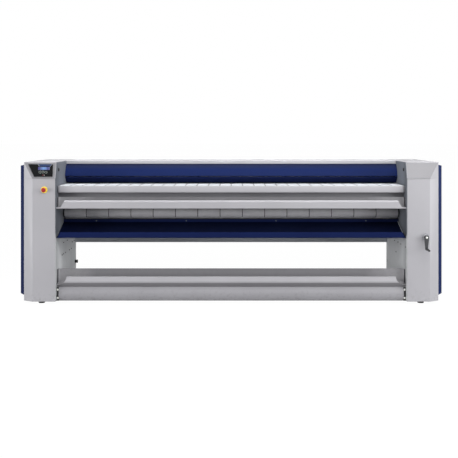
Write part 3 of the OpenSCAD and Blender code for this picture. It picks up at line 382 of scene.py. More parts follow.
class Coat:
    """A new material with a Principled shader. It is laid out in metres, by the object's own
    coordinates or its map, and underscores in the shader's values stand for spaces."""

    def __init__(self, name, layout="Object", **values):
        self.material = bpy.data.materials.new(name)
        self.tree = fresh_nodes(self.material)
        values = {key.replace("_", " "): value for key, value in values.items()}
        self.shader = add(self.tree, "ShaderNodeBsdfPrincipled", values)
        add(self.tree, "ShaderNodeOutputMaterial", {"Surface": self.shader.outputs[0]})
        self.where = add(self.tree, "ShaderNodeTexCoord").outputs[layout]

    def axis(self, name):
        """One coordinate of the layout."""
        return add(self.tree, "ShaderNodeSeparateXYZ", {"Vector": self.where}).outputs[name]

    def scaled(self, vector, scale):
        """Scales coordinates along each axis."""
        return add(self.tree, "ShaderNodeMapping", {"Vector": vector, "Scale": scale}).outputs[0]

    def noise(self, size_mm, detail, roughness=0.5, scale=None):
        """The value of a noise whose lumps are size_mm across, on the layout or a scaled one."""
        vector = self.scaled(self.where, scale) if scale else self.where
        return add(self.tree, "ShaderNodeTexNoise",
                   {"Vector": vector, "Scale": 1 / (size_mm * MM), "Detail": detail,
                    "Roughness": roughness}).outputs["Fac"]

    def ramp(self, value, low, high, to_low=0.0, to_high=1.0):
        """Maps a value from one span to another, held at its ends."""
        return add(self.tree, "ShaderNodeMapRange",
                   {"Value": value, "From Min": low, "From Max": high, "To Min": to_low,
                    "To Max": to_high}).outputs[0]

    def mix(self, factor, first, second):
        """Mixes two colours, each an sRGB code or another node's socket."""
        first, second = (srgb(tone) if isinstance(tone, str) else tone
                         for tone in (first, second))
        return add(self.tree, "ShaderNodeMix", {"Factor": factor, "A": first, "B": second},
                   data_type="RGBA").outputs["Result"]

    def feed(self, socket, value):
        """Links a value into one of the shader's inputs."""
        self.tree.links.new(value, self.shader.inputs[socket])

    def colour(self, factor, first, second):
        """Colours the surface with two tones, mixed by a factor."""
        self.feed("Base Color", self.mix(factor, first, second))

    def gloss(self, value, low, high, sharp, dull):
        """Varies the roughness from sharp to dull as a value goes from low to high."""
        self.feed("Roughness", self.ramp(value, low, high, sharp, dull))

    def relief(self, height, depth_mm, strength):
        """Raises and sinks the surface by a pattern, depth_mm deep."""
        bump = add(self.tree, "ShaderNodeBump", {"Height": height, "Distance": depth_mm * MM,
                                                 "Strength": strength})
        self.feed("Normal", bump.outputs[0])

    def orange_peel(self):
        """The skin of a powder coat. Real peel is 2 to 3 mm across and is drawn at 9 mm."""
        self.relief(self.noise(9, 2), 0.12, 0.35)

    def grain(self, tones, cloud, gloss=None, relief=None):
        """The plain form of a finish: two tones mixed by a cloud of (size, detail, low, high,
        most), and where given a gloss of (size, detail, sharp, dull) and a relief of (size,
        detail, depth, strength)."""
        size, detail, low, high, most = cloud
        self.colour(self.ramp(self.noise(size, detail), low, high, 0.0, most), *tones)
        if gloss:
            self.gloss(self.noise(*gloss[:2]), 0.3, 0.7, *gloss[2:])
        if relief:
            self.relief(self.noise(*relief[:2]), *relief[2:])
        return self.material


def powder_coat(name, colour, shade, gloss, specular=0.5):
    """Polyester powder coat on steel sheet: an even tone with a slight cloud, orange peel, and
    scuffs and dust on the lowest 150 mm."""
    coat = Coat(name, Specular_IOR_Level=specular)
    cloud = coat.ramp(coat.noise(420, 3), 0.3, 0.7)
    low_down = coat.ramp(coat.axis("Z"), 0.03, 0.18, 1.0, 0.0)
    marks = coat.ramp(coat.noise(35, 8, 0.7), 0.52, 0.72, 0.0, 0.55)
    coat.colour(maths(coat.tree, "MULTIPLY", low_down, marks), coat.mix(cloud, colour, shade),
                "6E6C69")
    coat.gloss(coat.noise(90, 4), 0.3, 0.7, gloss, gloss + 0.1)
    coat.orange_peel()
    return coat.material


def end_frame_shaded_coat(name, upper, lower, shade):
    """Powder coat on the end frames, with painted shade and light: darker above the return
    pan, between 640 and 700 mm up, painted light in the open bay below it, and painted shade
    forwards, over the 185 mm behind the columns' front."""
    coat = Coat(name, Roughness=0.6, Specular_IOR_Level=0.1)
    above = coat.ramp(coat.axis("Z"), 0.64, 0.70)
    ahead = coat.ramp(coat.axis("Y"), -0.485, -0.30, 0.45, 0.0)
    tone = coat.mix(ahead, coat.mix(above, lower, upper), "3C3F44")
    coat.colour(coat.ramp(coat.noise(300, 4), 0.4, 0.75, 0.0, 0.18), tone, shade)
    coat.orange_peel()
    return coat.material


def hood_shaded_coat(name, colour, shade):
    """Navy powder coat on the hood, with painted shade over the upper 57 mm under the top
    cover's front lip."""
    coat = Coat(name, Roughness=0.46, Specular_IOR_Level=0.03)
    coat.colour(coat.ramp(coat.axis("Z"), 1.305, 1.362, 0.0, 0.85), colour, shade)
    coat.orange_peel()
    return coat.material


def trough_shaded_coat(name, middle, end, shade):
    """Powder coat inside a trough, with patches of lint, painted shade along the middle of the
    machine, and painted light over 340 mm towards both ends."""
    coat = Coat(name, Roughness=0.55)
    across = maths(coat.tree, "ABSOLUTE", coat.axis("X"))
    tone = coat.mix(coat.ramp(across, 1.33, 1.67), middle, end)
    coat.colour(coat.ramp(coat.noise(60, 6, 0.6), 0.45, 0.75, 0.0, 0.3), tone, shade)
    coat.orange_peel()
    return coat.material


def enamel(name, colour, gloss):
    """Brushed or dipped machine enamel on castings and plates: thicker, with slow sags."""
    return Coat(name).grain((colour, "3A3B3D"), (60, 5, 0.35, 0.7, 0.35),
                            (40, 3, gloss, gloss + 0.15), (5, 4, 0.3, 0.5))


def turned_steel(name, colour, gloss):
    """Turned or ground bright steel on rollers and shafts: fine rings round the axis, which lies
    across the machine. Real turning marks are 0.2 mm apart and are drawn at 1.5 mm."""
    coat = Coat(name, Metallic=1.0)
    rings = coat.noise(1.5, 2, scale=(1.0, 0.02, 0.02))
    coat.colour(coat.ramp(coat.noise(120, 6), 0.45, 0.75, 0.0, 0.5), colour, "8C8B88")
    coat.gloss(rings, 0.3, 0.7, gloss, gloss + 0.14)
    coat.relief(rings, 0.02, 0.4)
    return coat.material


def galvanised(name):
    """Hot dip galvanised sheet: flat crystals 12 mm across that differ in tone and gloss."""
    coat = Coat(name, Metallic=1.0)
    cells = add(coat.tree, "ShaderNodeTexVoronoi", {"Vector": coat.where, "Scale": 1 / (12 * MM)})
    tone = add(coat.tree, "ShaderNodeSeparateColor", {0: cells.outputs["Color"]}).outputs[0]
    coat.colour(tone, "B9BDC0", "9DA2A6")
    coat.gloss(tone, 0.0, 1.0, 0.34, 0.52)
    return coat.material


def zinc_plated(name):
    """Bright zinc plate on bolts and studs: pale, with a faint blue and straw cast."""
    coat = Coat(name, Metallic=1.0)
    cast = coat.ramp(coat.noise(6, 3), 0.35, 0.65)
    coat.colour(cast, "D4DCE4", "DDD8C8")
    coat.gloss(cast, 0.0, 1.0, 0.22, 0.34)
    return coat.material


def needled_felt(name):
    """Needled polyester and aramid ironing felt: matt grey, short fibres lying along the belt,
    a little glazed and darkened by heat. Fibres are 0.1 mm thick and are drawn at 3 mm."""
    coat = Coat(name, "UV", Roughness=0.92, Sheen_Weight=0.25, Sheen_Roughness=0.5)
    fibres = coat.noise(3, 5, 0.65, (0.25, 1.0, 1.0))
    glaze = coat.ramp(coat.noise(160, 4), 0.35, 0.7)
    coat.colour(coat.ramp(fibres, 0.4, 0.75, 0.0, 0.5), coat.mix(glaze, "DAD9DD", "CAC9CE"),
                "BEBDC2")
    coat.relief(fibres, 0.5, 0.6)
    return coat.material


def woven_webbing(name):
    """Woven polyester feed belt: white plain weave. Threads are 1 mm apart and are drawn at
    5 mm, with a warp wave along the belt and a weft wave across it."""
    coat = Coat(name, "UV", Roughness=0.85)
    turns = 2 * math.pi / (5 * MM)
    waves = [maths(coat.tree, "SINE", maths(coat.tree, "MULTIPLY", coat.axis(axis), turns))
             for axis in ("X", "Y")]
    weave = maths(coat.tree, "MULTIPLY", *waves)
    clean = coat.mix(coat.ramp(weave, -1, 1), "C6CAD0", "D4D7DC")
    coat.colour(coat.ramp(coat.noise(140, 5), 0.4, 0.75, 0.0, 0.5), clean, "C4C6C8")
    coat.relief(weave, 0.4, 0.5)
    return coat.material


def rubber(name, colour):
    """Moulded black rubber: matt, with a fine grain and a grey bloom."""
    return Coat(name, Roughness=0.78).grain((colour, "3A3A3A"), (25, 5, 0.45, 0.75, 0.4),
                                            relief=(2, 3, 0.2, 0.5))


def moulded_plastic(name, colour, shade, gloss):
    """Injection moulded plastic: clear colour, fine grain, slightly uneven gloss."""
    coat = Coat(name, Coat_Weight=0.15, Coat_Roughness=0.2)
    return coat.grain((colour, shade), (18, 3, 0.35, 0.65, 1.0), (7, 4, gloss, gloss + 0.12),
                      (1.2, 2, 0.04, 0.4))


def black_glass(name):
    """Back printed black panel glass: deep black, sharp reflections, faint wiping marks."""
    coat = Coat(name, Specular_IOR_Level=0.18)
    wiped = coat.noise(14, 6, 0.6, (0.3, 1.0, 1.0))
    coat.gloss(wiped, 0.4, 0.75, 0.08, 0.22)
    coat.colour(coat.ramp(wiped, 0.5, 0.8, 0.0, 0.3), "08090B", "141619")
    return coat.material


def lit_display(name):
    """Backlit blue display behind the glass: brightest in the middle, with pale rows 11 mm
    apart. The map starts in a corner of the field."""
    coat = Coat(name, "UV", Base_Color=srgb("10131C"), Roughness=0.3, Specular_IOR_Level=0.2,
                Emission_Strength=0.78)
    middle = (-0.5 * DISPLAY_WIDE * MM, -0.5 * DISPLAY_HIGH * MM, 0)
    centred = add(coat.tree, "ShaderNodeMapping", {"Vector": coat.where, "Location": middle})
    shaped = coat.scaled(centred.outputs[0], (1.0, 1.6, 1.0))
    away = add(coat.tree, "ShaderNodeVectorMath", {0: shaped}, operation="LENGTH")
    away = coat.ramp(away.outputs["Value"], 0.0, 0.042, 1.0, 0.0)
    rows = add(coat.tree, "ShaderNodeTexWave", {"Vector": coat.where, "Scale": 1 / (11 * MM) / 2,
                                                "Distortion": 0.0}, bands_direction="Y")
    pale = coat.ramp(rows.outputs["Fac"], 0.72, 0.92, 0.0, 0.45)
    words = coat.ramp(coat.noise(6, 1, scale=(1.0, 0.1, 1.0)), 0.45, 0.5)
    coat.feed("Emission Color", coat.mix(maths(coat.tree, "MULTIPLY", pale, words),
                                         coat.mix(away, "4A4896", "84B8FA"), "DCEBFF"))
    return coat.material


def printed_film(name, colour):
    """Colour printed on the back of the glass: flat, under the glass's own gloss."""
    coat = Coat(name, Specular_IOR_Level=0.25, Roughness=0.35)
    return coat.grain((colour, "20242C"), (2, 2, 0.3, 0.7, 0.15))


def cast_iron(name, colour):
    """Sand cast iron under thin dark paint: pitted, 3 mm grain."""
    coat = Coat(name, Metallic=0.2)
    pits = coat.noise(3, 5, 0.6)
    coat.colour(coat.ramp(pits, 0.35, 0.7, 0.0, 0.6), colour, "55565A")
    coat.gloss(pits, 0.3, 0.7, 0.5, 0.75)
    coat.relief(pits, 0.5, 0.7)
    return coat.material


DISPLAY_WIDE = 114.0
DISPLAY_HIGH = 31.0

# Powder coats: name, colour, its cloudy shade, roughness and specular level
powder_coats = {
    "light_grey": ("light_grey_powder_coat", "B4B3B8", "AEADB2", 0.42),
    "dish_grey": ("crank_dish_grey_coat", "9A9EA3", "94989D", 0.5),
    # Paler coat of the top sheet, also painted light on the columns' flat tops
    "top_pale_and_painted_light": ("top_pale_coat_and_painted_light", "BFBEC3", "BAB9BE", 0.5, 0.3),
    # Painted shade on the leaning head faces, deeper on the left
    "left_head": ("left_head_painted_shade", "8B8A8F", "868589", 0.46),
    "right_head": ("right_head_painted_shade", "969599", "929195", 0.44),
    # Painted shade on the strip in the slot under the feed table
    "slot_shade_grey": ("slot_painted_shade_coat", "7A7A7E", "747478", 0.55, 0.3),
    # Painted shade on the troughs' short end walls
    "trough_end_shade": ("end_wall_painted_shade_coat", "4A4A4E", "444448", 0.6, 0.2),
    # Painted shade on the underside of the lower trough's lip
    "tuck_shade_grey": ("trough_underside_painted_shade", "8A898D", "858488", 0.5),
    # Painted shade on the kick panel under the lower trough
    "kick_shade_grey": ("kick_painted_shade_coat", "9E9DA2", "98979C", 0.48),
    "beam_grey": ("mid_grey_powder_coat", "B9BDC3", "B2B6BC", 0.5),
    # Painted highlight on the return pan's right edge
    "pale_edge_highlight": ("pan_edge_painted_highlight", "D6D9DC", "CDD0D4", 0.4),
    "navy": ("navy_powder_coat", "18244F", "162049", 0.44, 0.03),
    # Painted shade on the return pan's sloping floor
    "pan_floor_shade": ("return_pan_painted_shade", "0D1531", "0B112A", 0.5, 0.03),
    # Lighter copy of the navy coat: painted light on the side trays
    "tray_navy_lit": ("side_tray_navy_painted_light", "232F5A", "1F2A53", 0.42, 0.15),
}
# Plastics: name, colour, its cloudy shade and roughness
plastics = {
    "bakelite": ("black_phenolic", "141416", "1C1C1F", 0.32),
    "red": ("red_abs", "A81118", "9C0F15", 0.34),
    "yellow": ("yellow_abs", "FFE348", "FBDC3C", 0.38),
    "ring_grey": ("grey_button_ring", "A3AFA8", "98A49D", 0.4),
    "lamp_red": ("red_lamp_lens", "A02028", "8E1A22", 0.25),
    "lamp_pale": ("pale_lamp_lens", "E6DAD8", "D8CBC9", 0.25),
}
finish = {
    # End frames: painted shade above the return pan and forwards, painted light in the bay below
    "frame_grey_shaded": end_frame_shaded_coat("end_frame_painted_light_and_shade", "7C8088", "E8EAEC", "8E9298"),
    # Trough coats: painted shade along the middle, painted light towards both ends
    "upper_inside_shaded": trough_shaded_coat("upper_trough_painted_light_and_shade", "757478", "9D9CA0", "68676B"),
    "lower_inside_shaded": trough_shaded_coat("lower_trough_painted_light_and_shade", "77767A", "A5A4A8", "6C6B6F"),
    # Hood coat with painted shade under the top cover's lip
    "hood_navy_shaded": hood_shaded_coat("hood_painted_shade_coat", "1B2856", "080D22"),
    "motor_grey": enamel("motor_enamel", "7F868C", 0.42),
    # Black enamel of the base plates and heater elements, also painted shade on the kick flanges
    "plate_black_and_shade": enamel("black_enamel_and_painted_shade", "2A2B2D", 0.5),
    "cast": cast_iron("cast_iron_housing", "3C3E42"),
    "crank": cast_iron("cast_crank_black", "2C2D30"),
    "turned": turned_steel("ground_roller_steel", "C4C6C8", 0.26),
    "polished": turned_steel("polished_cylinder_steel", "D5D6D8", 0.16),
    "galvanised": galvanised("galvanised_sheet"),
    "zinc": zinc_plated("bright_zinc_plate"),
    "felt": needled_felt("needled_ironing_felt"),
    "webbing": woven_webbing("woven_feed_webbing"),
    "rubber": rubber("moulded_rubber", "191919"),
    "lagging": rubber("black_roller_lagging", "222325"),
    "glass": black_glass("black_panel_glass"),
    "display": lit_display("blue_backlit_display"),
    "print_blue": printed_film("dark_blue_print", "2A3B62"),
    "print_pale": printed_film("pale_print", "C9CDD3"),
    **{key: powder_coat(*row) for key, row in powder_coats.items()},
    **{key: moulded_plastic(*row) for key, row in plastics.items()},
}


# Finishes of the nodes that stay as they are
kept_nodes = {
    "light_grey": ["rear_covers"],
    # The end frames' coat carries painted shade and light
    "frame_grey_shaded": ["left_end_frame", "right_end_frame"],
    "navy": ["rear_panel", "finger_guard"],
    "beam_grey": ["rear_beam", "controller_box"],
    "motor_grey": ["drive_motor", "fan_motor"],
    "cast": ["cylinder_bearings", "roller_bearings_left", "roller_bearings_right",
             "gearbox_housing", "cylinder_pulley", "stripper_fingers", "fan_impeller"],
    "lagging": ["entry_roller", "exit_roller", "rear_lower_roller", "rear_upper_roller"],
    "turned": ["feed_front_roller", "feed_rear_roller", "stripper_bar", "drive_pulley",
               "cylinder_end_left", "cylinder_end_right"],
    "polished": ["ironing_cylinder"],
    "galvanised": ["exhaust_fan_housing", "heater_carrier"],
    # The feed bed takes the trough coat with its painted shade and light
    "upper_inside_shaded": ["feed_bed"],
    "zinc": ["finger_guard_pins", "estop_plunger"],
    "plate_black_and_shade": ["heating_elements"],
    "rubber": ["drive_belt"],
    "glass": ["control_panel"],
}
for finish_name, names in kept_nodes.items():
    for node_name in names:
        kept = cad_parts[node_name].data.materials
        kept.clear()
        kept.append(finish[finish_name])


# Columns

# Quarter rounds at the foot and the top edge, and the first ring of the top inside them
COVER_FOOT = 4.0
COVER_EDGE = 5.0
TOP_RING = 3.0
# Bends in plan, and the return along the end frame, set off from it by INNER_IN
BEVEL_BEND = 16.0
SIDE_BEND = 3.0
INNER_BEND = 7.0
INNER_RETURN = 14.0
INNER_IN = 6.0
# Seam under the head, its slanted sides, and the margin of the rows that the head leans on
SEAM_WIDE = 6.0
SEAM_DEEP = 7.0
SEAM_SIDE = 0.8
HEAD_MARGIN = 12.0
HEAD_ROWS = 12


def cover_heights():
    """Heights up a column cover, with the inset of a quarter round foot and top edge and the
    depth of the narrow seam across the front under the head."""
    a = np.linspace(0, np.pi / 2, 7)
    foot = np.stack([BASE + COVER_FOOT * (1 - np.cos(a)), COVER_FOOT * (1 - np.sin(a))], 1)
    half = SEAM_WIDE / 2
    seam = np.array([[HEAD_LOW - half, 0, 0], [HEAD_LOW - half + SEAM_SIDE, 0, SEAM_DEEP],
                     [HEAD_LOW + half - SEAM_SIDE, 0, SEAM_DEEP], [HEAD_LOW + half, 0, 0]])
    levels = np.linspace(HEAD_LOW + HEAD_MARGIN, TOP - HEAD_MARGIN, HEAD_ROWS)
    head = np.stack([levels, np.zeros(HEAD_ROWS)], 1)
    rim = np.stack([TOP - COVER_EDGE * (1 - np.sin(a)), COVER_EDGE * (1 - np.cos(a))], 1)
    rim = np.concatenate([rim, [[TOP, COVER_EDGE + TOP_RING]]])
    foot, head, rim = (np.pad(part, ((0, 0), (0, 1))) for part in (foot, head, rim))
    return np.concatenate([foot, seam, head, rim]).T


def column_cover():
    """The painted sheet of a column, one path in plan at each height. The front stands back by
    the lean of the head, the plane of the bevel cuts it at 229 + 96 lean / 60 from the inner
    edge, and the corners are moved in by the inset and rounded. The last row gathers on the
    inner edge as the top, never ahead of the inner return."""
    height, inset, seam = cover_heights()
    lean = BEVEL_DEPTH * np.clip((height - HEAD_LOW) / HEAD_HIGH, 0, 1)
    bevel_start = COLUMN_WIDTH - BEVEL_WIDTH + BEVEL_WIDTH * (lean + seam) / BEVEL_DEPTH
    angle = math.atan2(BEVEL_DEPTH, BEVEL_WIDTH)
    front_in = inset * math.tan(angle / 2)
    side_in = inset * math.tan((math.pi / 2 - angle) / 2)
    zero = np.zeros_like(height)
    front = lean + inset + seam
    side = COLUMN_WIDTH - inset
    bevel_end = np.maximum(BEVEL_DEPTH + side_in, front + 0.01)
    bevel_start = np.minimum(bevel_start - front_in, side - 0.01)
    corners = [(zero + INNER_IN, front + INNER_RETURN), (zero + INNER_IN, front),
               (bevel_start, front), (side, bevel_end), (side, zero + COLUMN_DEEP)]
    corners = np.stack([np.stack(corner, 1) for corner in corners], 1)
    room = np.linalg.norm(corners[:, 3] - corners[:, 2], axis=1)
    radii = np.stack([zero, zero + INNER_BEND, np.minimum(BEVEL_BEND, room),
                      np.minimum(SIDE_BEND, room * 0.6), zero], 1)
    path = rounded(corners, radii, steps=6)
    across = HALF_GAP + path[..., 0]
    level = np.broadcast_to(height[:, None], across.shape)
    grid = np.stack([across, path[..., 1], level], -1)
    top = grid[-1:].copy()
    top[..., 1] = np.maximum(top[..., 1], top[..., :1, 1])
    back = (top[..., 1] - top[..., :1, 1]) / (2 * INNER_RETURN)
    top[..., 0] = HALF_GAP + INNER_IN * np.clip(1 - back, 0, 1)
    return np.concatenate([grid, top])


def on_shaded_fascia(middles, normals):
    """The leaning front face of a head, above the seam and clear of the bevel, which takes painted
    shade.
    """
    return (middles[:, 2] > HEAD_LOW + SEAM_WIDE / 2) & (normals[:, 1] < -0.92)


def on_lit_top(middles, normals):
    """The flat top of a column, which takes painted light."""
    return (middles[:, 2] > TOP - 1) & (np.abs(normals[:, 2]) > 0.9)


cover = column_cover()
for side_name, flip in SIDES:
    made = piece(f"{side_name}_column_cover", [cover * flip], finish["light_grey"],
                 replaces=[f"{side_name}_column_shell"],
                 wall=COVER_WALL, sharp=50)
    # Painted shade on the leaning head face
    recoat(made, finish[f"{side_name}_head"], on_shaded_fascia)
    # Painted light on the flat top
    recoat(made, finish["top_pale_and_painted_light"], on_lit_top)

# Base plates stand inside the round foot of each cover
PLATE_IN = 24.0
PLATE_INNER = HALF_GAP + 2.0
PLATE_OUTER = HALF_GAP + COLUMN_WIDTH - PLATE_IN
PLATE_BACK = COLUMN_DEEP - 8.0
plate_low, plate_high = span("base_plates")
plate_corner = BEVEL_DEPTH * PLATE_IN / BEVEL_WIDTH
plate_bevel = PLATE_OUTER + PLATE_IN - BEVEL_WIDTH - plate_corner
plate_outline = [[PLATE_INNER, PLATE_IN], [plate_bevel, PLATE_IN],
                 [PLATE_OUTER, BEVEL_DEPTH + plate_corner], [PLATE_OUTER, PLATE_BACK],
                 [PLATE_INNER, PLATE_BACK]]
plate = block(plate_outline, 6, plate_low[2] + 1, plate_high[2], 1.5, steps=3)
piece("floor_plates", on_both_sides(plate), finish["plate_black_and_shade"],
      replaces=["base_plates"])


# Side covers: navy trays with sloping upper and lower faces

tray_low, tray_high = span("right_side_cover")
TRAY_LOW_CHAMFER = 27.0
TRAY_HIGH_CHAMFER = 13.0
tray_outline = [[tray_low[0], tray_low[2]], [tray_high[0], tray_low[2] + TRAY_LOW_CHAMFER],
                [tray_high[0], tray_high[2] - TRAY_HIGH_CHAMFER], [tray_low[0], tray_high[2]]]
tray = upright(block(tray_outline, [1, 3, 3, 1], tray_low[1], tray_high[1], 2))
# The trays' lighter navy is painted light
for side_name, flip in SIDES:
    piece(f"{side_name}_side_tray", [tray * flip], finish["tray_navy_lit"],
          replaces=[f"{side_name}_side_cover"])


# Top cover, hood and feed table

top_low = span("top_cover")[0]
LIP_HEM = 7.0
TOP_GAP = 1.5
piece("top_sheet",
      bent_sheet([[top_low[1] + LIP_HEM, top_low[2] + 1], [top_low[1], top_low[2] + 1],
                  [top_low[1], TOP], [COLUMN_DEEP, TOP]], [0, 1.2, 6, 0], HALF_GAP - TOP_GAP,
                 thickness=-SHEET),
      finish["top_pale_and_painted_light"], replaces=["top_cover"])

CREASE = [462.0, 1236.0]
HOOD_BULGE = 13.0
HOOD_HEM = [476.0, 1233.0]
HOOD_POINTS = 15
HOOD_BEND = 3.5
hood_shoulder = [top_low[1] + SHEET, top_low[2]]
hood_face = parabola(hood_shoulder, CREASE, HOOD_BULGE, HOOD_POINTS)
# The hood's coat paints shade under the top cover's lip
piece("hood_sheet",
      bent_sheet(np.concatenate([[[hood_shoulder[0], TOP - SHEET]], hood_face, [HOOD_HEM]]),
                 [0] * HOOD_POINTS + [HOOD_BEND, 0], SHEET_HALF, steps=3),
      finish["hood_navy_shaded"], replaces=["hood_panel"])

table_low, table_high = span("feed_table_casing")
TABLE_CORNER = 28.0
TABLE_FOOT = 12.0
TABLE_RETURN = 26.0
TABLE_HALF = HALF_GAP - 1.5
TABLE_REAR_DROP = 41.0


def table_casing():
    """The feed table's casing. The front is a wall whose plan has quarter round corners of
    28 mm: rows go down the face, round the lower edge and back under the belts."""
    a = np.linspace(0, np.pi / 2, 9)
    right = np.stack([TABLE_HALF - TABLE_CORNER * (1 - np.sin(a)),
                      table_low[1] + TABLE_CORNER * (1 - np.cos(a))], 1)
    plan = np.concatenate([[[0, table_low[1]]], right,
                           [[TABLE_HALF, table_low[1] + TABLE_CORNER + TABLE_RETURN]]])
    plan = np.concatenate([(plan * [-1, 1])[:0:-1], plan])
    b = np.linspace(0, np.pi / 2, 6)
    inset = np.concatenate([[3, 0.6, 0], TABLE_FOOT * (1 - np.cos(b))])
    level = np.concatenate([[table_high[2], table_high[2], table_high[2] - 1.2],
                            table_low[2] + TABLE_FOOT * (1 - np.sin(b))])
    normal = moved_left(plan, 1.0) - plan
    ring = plan[None] + normal[None] * inset[:, None, None]
    ring[..., 0] = np.clip(ring[..., 0], -TABLE_HALF, TABLE_HALF)
    grid = np.concatenate([ring[..., :1], ring[..., 1:],
                           np.broadcast_to(level[:, None, None], (*ring.shape[:2], 1))], -1)
    back = grid[-1:].copy()
    back[..., 1] = table_high[1]
    rear = back.copy()
    rear[..., 2] = table_high[2] - TABLE_REAR_DROP
    return np.concatenate([grid, back, rear])


piece("table_casing", [table_casing()], finish["light_grey"],
      replaces=["feed_table_casing"], wall=COVER_WALL)


# Belts

# Count of belts, gap between two, thickness and rounding of the edges
FEED = (30, 12.0, 2.0, 0.9)
IRONING = (15, 6.0, 3.0, 1.3)
# Play of a belt on its rollers, and air between the ironing belts and the cylinder
PLAY = 0.4
CYLINDER_LIFT = 1.0


def wheel(node, sign=1.0, extra=PLAY):
    """A wheel of a belt path round a roller's node."""
    depth, height, radius = axle(node)
    return [depth, height, sign * (radius + extra)]


def belt_row(node, sizes, wheels):
    """Evenly spread belts inside a node's box."""
    count, gap, thick, edge = sizes
    low, high = span(node)
    pitch = (high[0] - low[0] + gap) / count
    middles = low[0] - gap / 2 + pitch * (np.arange(count) + 0.5)
    return belts(wheels, middles, pitch - gap, thick, edge)


piece("feed_belt_row",
      belt_row("feed_belts", FEED, [wheel("feed_rear_roller"), wheel("feed_front_roller")]),
      finish["webbing"], replaces=["feed_belts"])
ironing_wheels = [wheel(node) for node in ("exit_roller", "rear_lower_roller",
                                           "rear_upper_roller", "entry_roller")]
ironing_wheels.append(wheel("ironing_cylinder", -1.0, CYLINDER_LIFT + IRONING[2]))
piece("ironing_belt_row", belt_row("ironing_belts", IRONING, ironing_wheels),
      finish["felt"], replaces=["ironing_belts"])


# Troughs and return pan

# Lines are (depth, height) points, each with the bend radii at its corners
UPPER_LINE = ([[28, 1004], [28, 1018], [13, 1018], [4, 1003], [6, 951], [6, 949], [4, 936],
               [92, 936], [112, 958], [130, 1043]], [0, 4, 4, 4, 0, 0, 11, 16, 12, 0])
PAN_LINE = ([[17, 699], [17, 708], [3, 708], [3, 650], [43, 650], [397, 766], [400, 803]],
            [0, 6.5, 6.5, 11, 8, 6, 0])
LIP_NOSE = [*np.linspace([5, 270], [0.6, 232], 8), [0, 226], [8, 212], [20, 199.5], [34, 185.5],
            [48, 172]]
LOWER_LINE = ([[25, 262], [25, 276], [16, 276], *LIP_NOSE, [96, 172], [124, 210], [130, 337]],
              [0, 5, 4, *[0] * 8, 10, 8, 0, 0, 8, 16, 16, 0])
TROUGH_BACK = 130.0
# Foot and top of the rear wall's round ends in both troughs
UPPER_ENDS = ([108, 954], [TROUGH_BACK - 2, 1042.5])
LOWER_ENDS = ([122, 200], [128.5, 336.5])
END_ROUND = 22.0
END_RETURN = 42.0
END_PLAY = 1.0
END_WALL = 1.5
# Slants at the ends of the upper flap and the pan's lip: heights, and lengths cut off each end
FLAP_FOOT = 950.0
UPPER_TOP = 1018.0
FLAP_SLANT_LOW = 43.0
FLAP_SLANT_HIGH = 85.0
PAN_LOW = 650.0
PAN_TOP = 708.0
PAN_SLANT_LOW = 13.0
PAN_SLANT_HIGH = 43.0
PAN_LIP_DEEP = 13.0
PAN_HEM_UP = 40.0
# Curved cut at the ends of the lower trough's lip: its top, width and lower end
LOWER_TOP = 276.0
LIP_CUT_IN = 103.0
LIP_CUT_END = 192.0


def slanted(height, low, high, cut_low, cut_high):
    """Half length that runs in on a straight slant from a low to a high edge."""
    up = np.clip((height - low) / (high - low), 0, 1)
    return HALF_GAP - cut_low - up * (cut_high - cut_low)


def flap_ends(section):
    """Half length of the upper trough: full, but slanted along the front flap above its foot."""
    depth, height = section.T
    slant = slanted(height, FLAP_FOOT, UPPER_TOP, FLAP_SLANT_LOW, FLAP_SLANT_HIGH)
    return np.where((depth < TROUGH_BACK / 3) & (height > FLAP_FOOT), slant, SHEET_HALF)


def pan_ends(section):
    """Half length of the return pan: full, but slanted along its front lip."""
    depth, height = section.T
    slant = slanted(height, PAN_LOW, PAN_TOP, PAN_SLANT_LOW, PAN_SLANT_HIGH)
    on_hem = (height > PAN_LOW + PAN_HEM_UP) & (depth < 2 * PAN_LIP_DEEP)
    return np.where((depth < PAN_LIP_DEEP) | on_hem, slant, SHEET_HALF)


def lip_ends(section):
    """Half length of the lower trough: its front lip is cut back at both ends by a quarter of
    an ellipse, 103 mm wide at the hem and upright where it meets the tuck."""
    depth, height = section.T
    down = np.clip((LOWER_TOP - height) / (LOWER_TOP - LIP_CUT_END), 0, 1)
    curve = SHEET_HALF - LIP_CUT_IN * np.sqrt(1 - down ** 2)
    return np.where((depth < TROUGH_BACK / 2) & (height > LIP_CUT_END), curve, SHEET_HALF)


def round_ends(low, high):
    """Both ends of a trough's rear wall, which rises from low to high as (depth, height): a
    quarter round of 22 mm that turns forward, and a short wall along the end frame."""
    a = np.linspace(0, np.pi / 2, 8)
    over = HALF_GAP - END_PLAY - END_ROUND * np.append(1 - np.sin(a), 0)
    ahead = END_ROUND * np.append(1 - np.cos(a), 1) + END_RETURN * np.append(0 * a, 1)
    plan = np.stack([over, -ahead], 1)
    section = np.concatenate([plan, moved_left(plan, END_WALL)[::-1], plan[:1]])
    rows = [np.concatenate([section[:, :1], depth - END_WALL + section[:, 1:],
                            np.full((len(section), 1), height)], 1)
            for depth, height in (low, high)]
    return on_both_sides(np.array(rows))


def on_shaded_rear_wall(middles, normals):
    """The rear wall of a trough with its round ends, which takes painted shade and light."""
    return middles[:, 1] > 90


def on_shaded_end_wall(middles, normals):
    """The short walls along the end frames, and the last of the round that faces them, which take
    painted shade.
    """
    return (np.abs(normals[:, 0]) > 0.85) & (np.abs(middles[:, 0]) > HALF_GAP - 2 * END_ROUND)


def on_shaded_tuck(middles, normals):
    """The middle half of the underside that leads from the lip's nose to the kick panel, which
    takes painted shade.
    """
    return (middles[:, 2] < 212) & (middles[:, 1] < 60) & (np.abs(middles[:, 0]) < HALF_GAP / 2)


